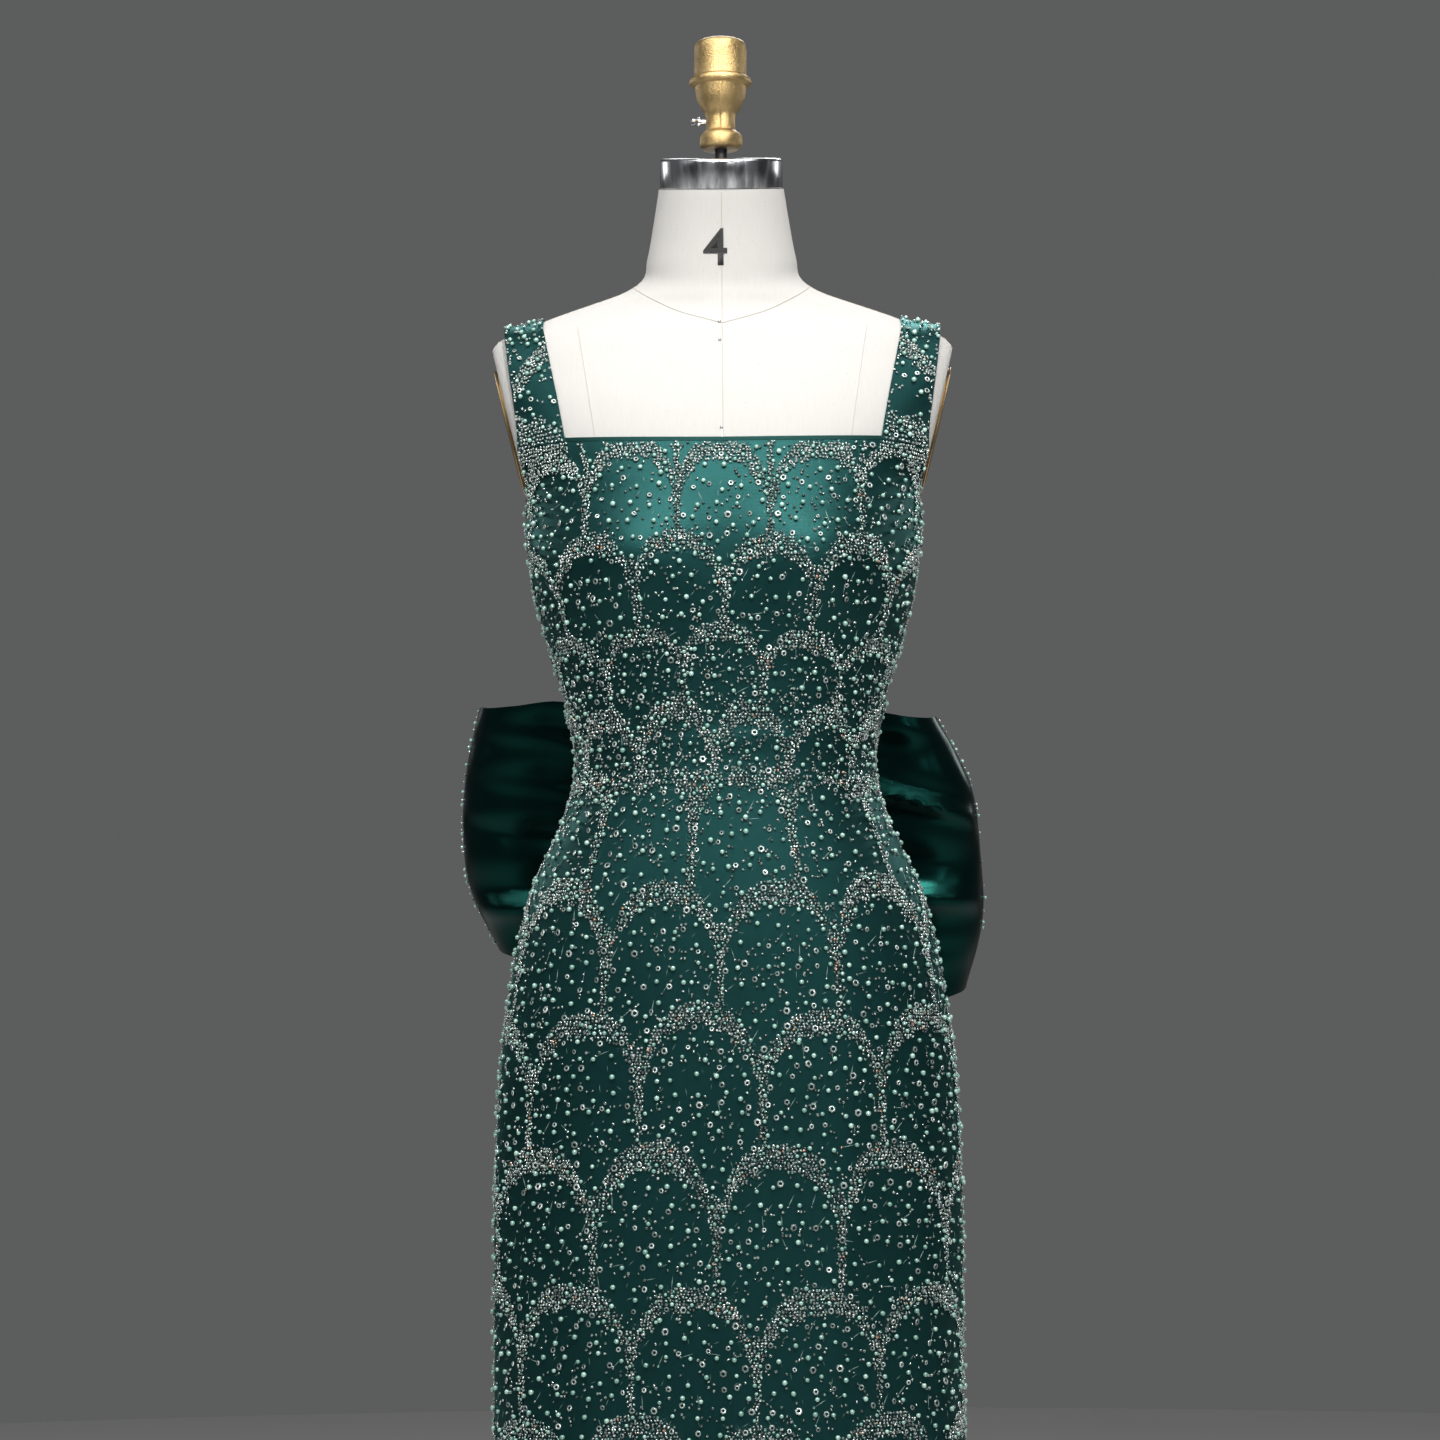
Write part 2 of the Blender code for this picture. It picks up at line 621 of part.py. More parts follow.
def make_strap(name, side, tree, satin):
    """A strap laid over the form's shoulder, from the neckline corner to the back's top edge."""
    front, back = (STRAP_BASE, NECKLINE_Z - BINDING_HEIGHT), (STRAP_BACK, BACK_TOP_Z + SEAM)

    def thread_point(share, t):
        (near_x, far_x), low_z = back if t > 0.5 else front
        low_x = near_x + (far_x - near_x) * share
        top_x = STRAP_TOP[0] + (STRAP_TOP[1] - STRAP_TOP[0]) * share
        return lay_on_shoulder(tree, side, low_x, top_x, low_z, math.pi * t)

    def end_point(share, end, behind, out):
        # Both ends meet the bodice's top edge, so they lie out along the same normals.
        (near_x, far_x), low_z = end
        around = side * around_at(near_x + (far_x - near_x) * share, low_z, back=behind)
        return Vector(cloth_point(around, low_z, out))

    # Even steps along the outer edge, which turns most sharply over the shoulder.
    dense = np.linspace(0.0, 1.0, 91)
    edge = [thread_point(1.0, t)[0] for t in dense]
    run = np.concatenate([[0.0], np.cumsum([(b - a).length for a, b in zip(edge, edge[1:])])])
    steps = np.interp(np.linspace(0.0, run[-1], STRAP_ROWS), run, dense)
    shares = np.linspace(0.0, 1.0, 4)
    laid = [[thread_point(share, t) for share in shares] for t in steps]
    ways = [[normal for _, normal in row] for row in laid]
    # The strap is stiff with beads, so its outer edge stands off the shoulder's slope.
    inner = []
    for t, row in zip(steps, laid):
        lifts = [STRAP_CLEAR + STRAP_LIFT * share**1.5 * math.sin(math.pi * t) ** 3 for share in shares]
        inner.append([hit + normal * lift for (hit, normal), lift in zip(row, lifts)])
    inner[0] = [end_point(share, front, False, CLOTH_CLEAR) for share in shares]
    inner[-1] = [end_point(share, back, True, CLOTH_CLEAR) for share in shares]
    inner = lift_clear(tree, inner, ways, STRAP_CLEAR)
    outer = [[p + way * CLOTH for p, way in zip(*pair)] for pair in zip(inner, ways)]
    outer[0] = [end_point(share, front, False, CLOTH_CLEAR + CLOTH) for share in shares]
    outer[-1] = [end_point(share, back, True, CLOTH_CLEAR + CLOTH) for share in shares]
    wall(name, inner, outer, satin)


def make_zip(metal, tape):
    """The closed zip at centre back, its slider, and the pull that hangs from it."""
    half = ZIP_WIDTH / 2
    heights = [z for z in HIP_LEVELS if z >= ZIP_END_Z] + bodice_levels() + [BACK_TOP_Z - SEAM]
    inner, outer = [], []
    for z in heights:
        near = cloth_point(2.0, z, CLOTH_CLEAR)
        far = cloth_point(2.0, z, CLOTH_CLEAR + CLOTH)
        inner.append([(x, near[1], near[2]) for x in (-half, half)])
        outer.append([(x, far[1], far[2]) for x in (-half, half)])
    wall("back_zip", inner, outer, tape)

    steps = [SLIDER_FOOT_Z + point.height for point in SLIDER_OUTLINE]
    slider_y = max(cloth_point(2.0, z, CLOTH_CLEAR + CLOTH)[1] for z in steps) + SEAM

    def on_slider(depth, height, across):
        return across, slider_y + depth, SLIDER_FOOT_Z + height

    framed("zip_slider", SLIDER_OUTLINE, SLIDER_SLOT, SLIDER_WIDTH, on_slider, metal)

    # The pull's own origin is the middle of its top bar, which the hinge's axis runs along.
    outline, eye = (
        [(p.half_width, p.height) for p in side] + [(-p.half_width, p.height) for p in reversed(side)]
        for side in (PULL_OUTLINE, PULL_EYE)
    )
    pull = framed("zip_pull", outline, eye, PULL_THICK, lambda x, z, depth: (x, depth, z), metal)
    pull.location = on_slider(PULL_HINGE.depth, PULL_HINGE.height, 0.0)


# ---------------------------------------------------------------- the bow
def knot_point(turn, across, out):
    """A point on the knot's band, in the bow's own frame. out is 0 inside and BOW_CLOTH outside."""
    corner = 2.0 / KNOT_ROUNDNESS
    y = math.copysign(abs(math.cos(turn)) ** corner, math.cos(turn))
    z = math.copysign(abs(math.sin(turn)) ** corner, math.sin(turn))
    bulge = KNOT_BULGE * (1.0 - across**2) if out > 0.0 else 0.0
    half_y = KNOT_DEPTH / 2 - BOW_CLOTH + out + (bulge if y > 0.0 else 0.0)
    half_z = KNOT_HALF_HEIGHT - BOW_CLOTH + out + bulge
    narrow = 1.0 - KNOT_NARROWING * abs(z)
    return Vector((KNOT_HALF_WIDTH * across * narrow, KNOT_DEPTH / 2 + y * half_y, z * half_z))


def bow_seat():
    """Where the knot rests on the gown's back, and how far it leans with it."""
    def gown_back(x):
        # The gown's flat facets run straight between these rows.
        rows = [*HIP_LEVELS, *bodice_levels()]
        points = [cloth_point(around_at(x, z, back=True), z, CLOTH_CLEAR + CLOTH) for z in rows]
        return [p[2] for p in points], [p[1] for p in points]

    heights, depths = gown_back(0.0)
    ends = (KNOT_Z - KNOT_HALF_HEIGHT, KNOT_Z + KNOT_HALF_HEIGHT)
    low_y, high_y = np.interp(ends, heights, depths)
    lean = math.atan2(low_y - high_y, ends[1] - ends[0])
    place_y = 0.0
    for across in (0.0, 0.5, 1.0):
        for turn in np.linspace(math.pi / 2, 3 * math.pi / 2, 49):
            spot = knot_point(turn, across, BOW_CLOTH)
            heights, depths = gown_back(spot.x)
            spot.rotate(Euler((lean, 0.0, 0.0)))
            place_y = max(place_y, np.interp(KNOT_Z + spot.z, heights, depths) - spot.y)
    return Vector((0.0, place_y + SEAM, KNOT_Z)), lean


def loop_middle(loop, s, t):
    """A point on the middle surface of a bow loop. s runs along the cloth and t across it."""
    steps = np.linspace(0.0, 1.0, len(LOOP))
    x, y, spread = (smooth(steps, [getattr(row, name) for row in LOOP], s) for name in Station._fields)
    widest = max(row.x for row in LOOP)
    reach = smooth(np.linspace(-1.0, 1.0, len(loop.reach)), loop.reach, t)
    out = max(0.0, x - LOOP_MOUTH) / (widest - LOOP_MOUTH)
    x = min(x, LOOP_MOUTH) + out * (reach - LOOP_MOUTH)
    closed = LOOP[0].spread
    opened = min(1.0, max(0.0, (spread - closed) / (1.0 - closed)))
    z = (loop.middle_z - KNOT_Z) * opened + t * spread * loop.half_height
    # Folds fan out from the knot and fade towards the turned edge.
    depth = BOW_FOLD_DEPTH * opened * (1.0 - BOW_FOLD_FADE * min(1.0, out))
    wave = math.cos(BOW_FOLDS * math.pi * t + BOW_FOLD_PHASES[0 if s < 0.5 else 1])
    y += depth * wave
    return np.array([loop.side * x, y, z])


def make_bow(satin):
    """Two loops and the knot, parented to an empty that leans with the gown's back."""
    place, lean = bow_seat()
    seat = bpy.data.objects.new("bow_seat", None)
    bpy.context.collection.objects.link(seat)
    seat.location = place
    seat.rotation_euler = (lean, 0.0, 0.0)
    along = np.linspace(0.0, 1.0, LOOP_ROWS)
    across = np.linspace(-1.0, 1.0, LOOP_COLUMNS)
    for name, loop in LOOPS.items():
        inner, outer = [], []
        for s in along:
            near, far = [], []
            for t in across:
                ahead, behind = min(1.0, s + 0.004), max(0.0, s - 0.004)
                above, below = min(1.0, t + 0.01), max(-1.0, t - 0.01)
                run = loop_middle(loop, ahead, t) - loop_middle(loop, behind, t)
                rise = loop_middle(loop, s, above) - loop_middle(loop, s, below)
                normal = np.cross(run, rise)
                normal *= BOW_CLOTH / 2 / np.linalg.norm(normal)
                middle = loop_middle(loop, s, t)
                near.append(middle - normal)
                far.append(middle + normal)
            inner.append(near)
            outer.append(far)
        wall(name, inner, outer, satin).parent = seat
    make_knot(satin).parent = seat


def make_knot(satin):
    """The band round the bow's middle: a closed ring, a little narrower at its top and bottom."""
    bm = bmesh.new()
    turns = [2 * math.pi * k / 24 for k in range(24)]
    widths = np.linspace(-1.0, 1.0, 5)
    near = [[bm.verts.new(knot_point(turn, w, 0.0)) for w in widths] for turn in turns]
    far = [[bm.verts.new(knot_point(turn, w, BOW_CLOTH)) for w in widths] for turn in turns]
    for i in range(len(turns)):
        k = (i + 1) % len(turns)
        for j in range(len(widths) - 1):
            bm.faces.new((near[i][j], near[i][j + 1], near[k][j + 1], near[k][j]))
            bm.faces.new((far[i][j], far[k][j], far[k][j + 1], far[i][j + 1]))
        bm.faces.new((near[i][0], near[k][0], far[k][0], far[i][0]))
        bm.faces.new((near[i][-1], far[i][-1], far[k][-1], near[k][-1]))
    return finish(bm, "bow_knot", satin)


# ---------------------------------------------------------------- the dress form
def make_form_body(linen):
    """Torso and neck in one smooth closed solid."""
    places = [*front_columns(), *back_columns()[1:]]
    places += [-a for a in back_columns()[-2:0:-1]]
    rings = [[figure_point(a, z) for a in places] for z in form_levels()]
    return loft("form_body", rings, linen, sharp_degrees=40.0, triangles=True)


def make_cap_and_finial(steel, brass, dark, chrome):
    """The steel neck cap, the brass finial on its rod, and the finial's wing screw."""
    top = section_at(NECK_TOP_Z)
    lean = math.radians(top.lean)
    profile = [(CAP_RADIUS - CAP_FOOT, 0.0), (CAP_RADIUS, CAP_FOOT), (CAP_RADIUS, CAP_HEIGHT - CAP_EDGE)]
    for degrees in (30, 60, 90):
        bend = math.radians(degrees)
        inset, drop = CAP_EDGE * (1 - math.cos(bend)), CAP_EDGE * (1 - math.sin(bend))
        profile.append((CAP_RADIUS - inset, CAP_HEIGHT - drop))
    cap = turned("neck_cap", profile, 40, steel)
    up = Vector((0.0, -math.sin(lean), math.cos(lean)))
    cap.location = Vector((0.0, top.centre, NECK_TOP_Z)) + up * SEAM
    cap.rotation_euler = (lean, 0.0, 0.0)

    # The rod's foot is cut parallel to the cap's sloping top.
    cap_top = cap.location + up * (CAP_HEIGHT + SEAM)
    turns = [2 * math.pi * k / 12 for k in range(12)]
    circle = [(ROD_RADIUS * math.cos(t), ROD_RADIUS * math.sin(t)) for t in turns]
    foot_ring = [(x, y, cap_top.z + (y - cap_top.y) * math.tan(lean)) for x, y in circle]
    head_ring = [(x, y, FINIAL_BOTTOM_Z - SEAM) for x, y in circle]
    loft("finial_rod", [foot_ring, head_ring], dark)

    finial = turned("finial", FINIAL, 20, brass)
    finial.location = (0.0, 0.0, FINIAL_BOTTOM_Z)

    # The wing screw's tip meets the finial's narrow neck on the left.
    screw = turned("wing_screw", SCREW, 10, chrome)
    wing = [(-WING_HALF_THICK, WING_FROM), (WING_HALF_THICK, WING_FROM)]
    wing += [(WING_HALF_THICK, WING_TO), (-WING_HALF_THICK, WING_TO)]
    blade = [[(x, y, z) for x, z in wing] for y in (-WING_HALF_SPAN, WING_HALF_SPAN)]
    cutter = loft("wing_blade", blade, chrome)
    union = screw.modifiers.new("wings", "BOOLEAN")
    union.operation = "UNION"
    union.object = cutter
    cutter.hide_render = True
    cutter.display_type = "WIRE"
    for piece in (screw, cutter):
        piece.location = (-FINIAL_NECK_RADIUS, 0.0, FINIAL_BOTTOM_Z + SCREW_HEIGHT)
        piece.rotation_euler = (0.0, -math.pi / 2, 0.0)


def make_armplate(name, side, brass):
    """A domed oval plate that closes one armhole of the form."""
    lean = math.atan2(ARMHOLE_HIGH[1] - ARMHOLE_LOW[1], ARMHOLE_HIGH[0] - ARMHOLE_LOW[0])
    turns = [2 * math.pi * k / 28 for k in range(28)]
    rings = []
    for step in PLATE_DOME:
        x = side * PLATE_THICK * step.rise
        deep, tall = PLATE_HALF_DEPTH * step.size, PLATE_HALF_HEIGHT * step.size
        rings.append([(x, deep * math.cos(t), tall * math.sin(t)) for t in turns])
    plate = loft(name, rings, brass)
    plate_x = armhole_plane(PLATE_Z) + SEAM / math.cos(lean)
    plate.location = (side * plate_x, ARMHOLE_Y, PLATE_Z)
    plate.rotation_euler = (0.0, side * lean, 0.0)


def make_stand(steel, iron):
    """The pole under the form, and the round base on the floor."""
    turned("base", BASE, 32, iron)
    foot_z = BASE[-1].height + SEAM
    head_z = FORM_BOTTOM_Z - SEAM
    pole = turned("pole", [(POLE_RADIUS, 0.0), (POLE_RADIUS, head_z - foot_z)], 20, steel)
    pole.location = (0.0, 0.0, foot_z)


# ---------------------------------------------------------------- the whole part
def main():
    """Clears the scene and makes every sub-part."""
    for old in list(bpy.data.objects):
        bpy.data.objects.remove(old, do_unlink=True)
    satin = principled("green_satin", (0.010, 0.115, 0.088), 0.34, sheen=0.3)
    bow_satin = principled("bow_satin", (0.006, 0.080, 0.062), 0.28, sheen=0.3)
    tape = principled("zip_tape", (0.008, 0.060, 0.048), 0.60)
    linen = principled("cream_linen", (0.76, 0.72, 0.65), 0.85)
    steel = principled("polished_steel", (0.60, 0.61, 0.63), 0.18, metallic=1.0)
    brass = principled("cast_brass", (0.62, 0.44, 0.16), 0.36, metallic=1.0)
    chrome = principled("chrome", (0.75, 0.75, 0.77), 0.10, metallic=1.0)
    iron = principled("black_iron", (0.03, 0.03, 0.032), 0.45, metallic=0.6)

    body = make_form_body(linen)
    make_cap_and_finial(steel, brass, iron, chrome)
    make_armplate("armplate_left", -1, brass)
    make_armplate("armplate_right", 1, brass)
    make_stand(steel, iron)

    make_bodice(satin)
    make_skirt(satin)
    make_binding(satin)
    shoulders = BVHTree.FromPolygons(
        [vertex.co for vertex in body.data.vertices],
        [tuple(face.vertices) for face in body.data.polygons],
    )
    make_strap("strap_left", -1, shoulders, satin)
    make_strap("strap_right", 1, shoulders, satin)
    make_zip(brass, tape)
    make_bow(bow_satin)


main()
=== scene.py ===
# %% [markdown]
# # An evening gown on its dress form
#
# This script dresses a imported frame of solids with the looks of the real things: satin,
# beads, linen, steel and cast brass. Each step has two cells. The first says what the
# piece is, how it could be made and why this way was chosen. The second makes it and
# prints what it made.
#
# The frame comes in first. Its bodies are what moves, and its nodes are the solids. Every
# piece that is made here is in the same metres and the same place as they are.

# %% Load the frame
import math
from collections import namedtuple

import bmesh
import bpy
import numpy as np
from mathutils import Euler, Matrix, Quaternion, Vector
from mathutils.bvhtree import BVHTree
from mathutils.kdtree import KDTree


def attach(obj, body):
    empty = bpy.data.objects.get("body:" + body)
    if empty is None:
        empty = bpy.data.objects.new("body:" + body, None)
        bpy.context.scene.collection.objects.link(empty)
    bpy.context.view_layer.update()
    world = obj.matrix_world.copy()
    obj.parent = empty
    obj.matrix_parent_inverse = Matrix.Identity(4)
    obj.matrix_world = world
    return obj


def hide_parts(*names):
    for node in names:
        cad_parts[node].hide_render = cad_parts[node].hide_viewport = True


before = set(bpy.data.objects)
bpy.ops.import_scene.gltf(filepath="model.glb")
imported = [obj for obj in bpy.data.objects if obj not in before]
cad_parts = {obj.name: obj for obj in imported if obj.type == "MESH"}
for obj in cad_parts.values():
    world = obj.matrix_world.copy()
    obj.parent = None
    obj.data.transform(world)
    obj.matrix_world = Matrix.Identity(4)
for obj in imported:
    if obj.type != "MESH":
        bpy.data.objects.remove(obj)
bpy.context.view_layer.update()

GOWN_BODY = "gown"
PULL_BODY = "zip_pull_tab"

# %% [markdown]
# ## The sizes that everything is worked out from
#
# A dressmaker starts from a form's measures at many levels. The table below holds level
# sections of the figure: half its width, its depth in front and behind, how square the
# oval is, where its middle lies and how far the section tips forward at the neck.
#
# The solids in the frame are made from the same sections with large flat facets. Here the
# same table gives a surface that is as smooth as cloth, so that both agree in size.

# %% Sizes of the figure and of the gown
HEM_Z = 0.012
WAIST_Z = 1.045
UNDERARM_Z = 1.262
NECKLINE_Z = 1.3018
NECKLINE_DIP = 0.0047
SCOOP_POWER = 1.6
BACK_TOP_Z = 1.270
ZIP_END_Z = 0.905
FORM_BOTTOM_Z = 0.720
NECK_TOP_Z = 1.507

CLOTH = 0.0018
CLOTH_CLEAR = 0.0013
STRAP_CLEAR = 0.0006
SEAM = 0.0003

STRAP_BASE = (0.1165, 0.1525)
STRAP_TOP = (0.1370, 0.1680)
STRAP_TOP_Z = 1.397
STRAP_LIFT = 0.0065
STRAP_BACK = (0.1020, 0.1370)
BINDING_HEIGHT = 0.0030
ZIP_WIDTH = 0.0016

ARMHOLE_LOW = (1.262, 0.1470)
ARMHOLE_HIGH = (1.385, 0.1770)
ARMHOLE_Y = 0.0100

Section = namedtuple("Section", "height half_width front back roundness centre lean")
FIGURE = [Section(*row) for row in (
    (0.012, 0.1970, 0.1480, 0.1660, 2.10, 0.000, 0),
    (0.150, 0.1900, 0.1380, 0.1560, 2.10, 0.000, 0),
    (0.300, 0.1810, 0.1240, 0.1430, 2.15, 0.000, 0),
    (0.450, 0.1740, 0.1120, 0.1320, 2.20, 0.000, 0),
    (0.600, 0.1710, 0.1050, 0.1260, 2.25, 0.000, 0),
    (0.767, 0.1707, 0.1030, 0.1250, 2.25, 0.000, 0),
    (0.837, 0.1672, 0.1040, 0.1250, 2.25, 0.000, 0),
    (0.883, 0.1615, 0.1040, 0.1230, 2.25, 0.000, 0),
    (0.929, 0.1535, 0.1030, 0.1180, 2.25, 0.000, 0),
    (0.975, 0.1400, 0.1000, 0.1080, 2.25, 0.000, 0),
    (0.998, 0.1290, 0.0975, 0.1010, 2.25, 0.000, 0),
    (1.021, 0.1190, 0.0950, 0.0945, 2.25, 0.000, 0),
    (1.048, 0.1112, 0.0930, 0.0890, 2.25, 0.000, 0),
    (1.070, 0.1098, 0.0930, 0.0870, 2.25, 0.000, 0),
    (1.091, 0.1128, 0.0940, 0.0875, 2.25, 0.000, 0),
    (1.114, 0.1180, 0.0965, 0.0890, 2.25, 0.000, 0),
    (1.137, 0.1245, 0.0995, 0.0915, 2.25, 0.000, 0),
    (1.160, 0.1315, 0.1030, 0.0945, 2.30, 0.000, 0),
    (1.183, 0.1380, 0.1065, 0.0975, 2.30, 0.000, 0),
    (1.206, 0.1425, 0.1085, 0.1000, 2.35, 0.000, 0),
    (1.229, 0.1455, 0.1085, 0.1015, 2.35, 0.000, 0),
    (1.252, 0.1462, 0.1065, 0.1025, 2.35, 0.001, 0),
    (1.276, 0.1488, 0.1030, 0.1020, 2.35, 0.002, 0),
    (1.300, 0.1640, 0.0975, 0.1010, 2.30, 0.004, 0),
    (1.330, 0.1745, 0.0890, 0.0970, 2.25, 0.007, 0),
    (1.355, 0.1800, 0.0800, 0.0900, 2.10, 0.010, 0),
    (1.372, 0.1805, 0.0735, 0.0840, 1.95, 0.012, 0),
    (1.385, 0.1780, 0.0690, 0.0790, 1.80, 0.014, 0),
    (1.394, 0.1690, 0.0660, 0.0750, 1.65, 0.015, 2),
    (1.402, 0.1515, 0.0630, 0.0710, 1.55, 0.016, 4),
    (1.412, 0.1270, 0.0595, 0.0665, 1.50, 0.017, 7),
    (1.421, 0.1010, 0.0570, 0.0625, 1.60, 0.017, 9),
    (1.430, 0.0755, 0.0550, 0.0590, 1.90, 0.016, 12),
    (1.438, 0.0630, 0.0530, 0.0565, 2.10, 0.015, 14),
    (1.455, 0.0575, 0.0500, 0.0530, 2.15, 0.011, 14),
    (1.480, 0.0525, 0.0475, 0.0500, 2.10, 0.005, 14),
    (1.507, 0.0480, 0.0465, 0.0465, 2.05, -0.002, 14),
)]
BUST_Z = 1.206
BUST_APART = 0.0750
BUST_RISE = 0.0150
BUST_WIDE = 0.0440
BUST_TALL = 0.0400
HEM_FOLDS = 8
HEM_FOLD_DEPTH = 0.0055
HEM_FOLD_TOP_Z = 0.480
print("sections", len(FIGURE), "from", FIGURE[0].height, "to", FIGURE[-1].height, "m")

# %% [markdown]
# ## One fine net over the whole figure
#
# Cloth, beads and seams all have to know where the figure's surface is. It could be read
# from a mesh with ray casts, point by point. A regular net of points is quicker: it is
# worked out once from the sections, and every later step reads between its points.
#
# A place on the net has two numbers. `around` is 0 at centre front, 1 and -1 at the sides
# and 2 at centre back. `z` is the height of the level section.

# %% The figure's net
NET_STEP_Z = 0.003
NET_COLUMNS = 641
HIP_Z = 0.767


def unit(ways):
    """Directions brought to a length of one."""
    return ways / np.linalg.norm(ways, axis=-1, keepdims=True)


def together(*parts):
    """Coordinates, each a number or an array, stacked into points."""
    return np.stack(np.broadcast_arrays(*parts), axis=-1)


def smooth_curve(xs, ys, x):
    """A smooth curve through the points (xs, ys), read at x."""
    xs, ys = np.asarray(xs, float), np.asarray(ys, float)
    slope = np.gradient(ys, xs)
    i = np.clip(np.searchsorted(xs, x) - 1, 0, len(xs) - 2)
    span = xs[i + 1] - xs[i]
    t = np.clip((x - xs[i]) / span, 0.0, 1.0)
    rise = 3 * t**2 - 2 * t**3
    start, end = t * (1 - t) ** 2 * span, -(t**2) * (1 - t) * span
    return (1 - rise) * ys[i] + rise * ys[i + 1] + start * slope[i] + end * slope[i + 1]


def section_at(z):
    """The figure's section at a height."""
    heights = [row.height for row in FIGURE]
    values = [smooth_curve(heights, [getattr(row, k) for row in FIGURE], z) for k in Section._fields[1:]]
    return Section(z, *(float(v) for v in values))


def quarter(section, back):
    """One quarter of a section, centre to side: x, y, the share of its length, its length."""
    turn = np.linspace(0.0, math.pi / 2, 161)
    power = 2.0 / section.roundness
    x = section.half_width * np.sin(turn) ** power
    y = (section.back if back else -section.front) * np.maximum(np.cos(turn), 0.0) ** power
    run = np.concatenate([[0.0], np.cumsum(np.hypot(np.diff(x), np.diff(y)))])
    return x, y, run / run[-1], run[-1]


def armhole_plane(z):
    """Half width of the form's flat armholes at a height."""
    share = (z - ARMHOLE_LOW[0]) / (ARMHOLE_HIGH[0] - ARMHOLE_LOW[0])
    return ARMHOLE_LOW[1] + share * (ARMHOLE_HIGH[1] - ARMHOLE_LOW[1])


def figure_row(z, around):
    """The figure's points at one height, and the lengths of its front and back quarters."""
    section = section_at(z)
    turn = np.abs(around)
    front_x, front_y, front_share, front_long = quarter(section, False)
    back_x, back_y, back_share, back_long = quarter(section, True)
    front = turn <= 1.0
    x = np.where(front, np.interp(turn, front_share, front_x), np.interp(2 - turn, back_share, back_x))
    y = np.where(front, np.interp(turn, front_share, front_y), np.interp(2 - turn, back_share, back_y))
    if ARMHOLE_LOW[0] < z < ARMHOLE_HIGH[0]:
        x = np.minimum(x, armhole_plane(z))
    bust = np.exp(-(((x - BUST_APART) / BUST_WIDE) ** 2) - ((z - BUST_Z) / BUST_TALL) ** 2)
    y = y - np.where(front, BUST_RISE * bust * (1.0 - turn**6), 0.0)
    if z < HEM_FOLD_TOP_Z:
        depth = HEM_FOLD_DEPTH * ((HEM_FOLD_TOP_Z - z) / (HEM_FOLD_TOP_Z - HEM_Z)) ** 1.5
        grow = 1.0 + depth * np.cos(HEM_FOLDS * math.pi * turn / 2) / np.hypot(x, y)
        x, y = x * grow, y * grow
    tip = math.radians(section.lean)
    side = np.where(around < 0.0, -1.0, 1.0)
    points = together(side * x, section.centre + y * math.cos(tip), z + y * math.sin(tip))
    return points, front_long, back_long


net_z = np.arange(HEM_Z, NECK_TOP_Z + NET_STEP_Z, NET_STEP_Z)
net_around = np.linspace(-2.0, 2.0, NET_COLUMNS)
net_points, net_front, net_back = (np.array(v) for v in zip(*(figure_row(z, net_around) for z in net_z)))
run_way = np.gradient(net_points, axis=1)
run_way[:, 0] = run_way[:, -1] = net_points[:, 1] - net_points[:, -2]
net_normals = unit(np.cross(run_way, np.gradient(net_points, axis=0)))
hips = 2 * np.interp(HIP_Z, net_z, net_front + net_back)
print("net", net_points.shape[:2], "hips round", round(float(hips), 3), "m")
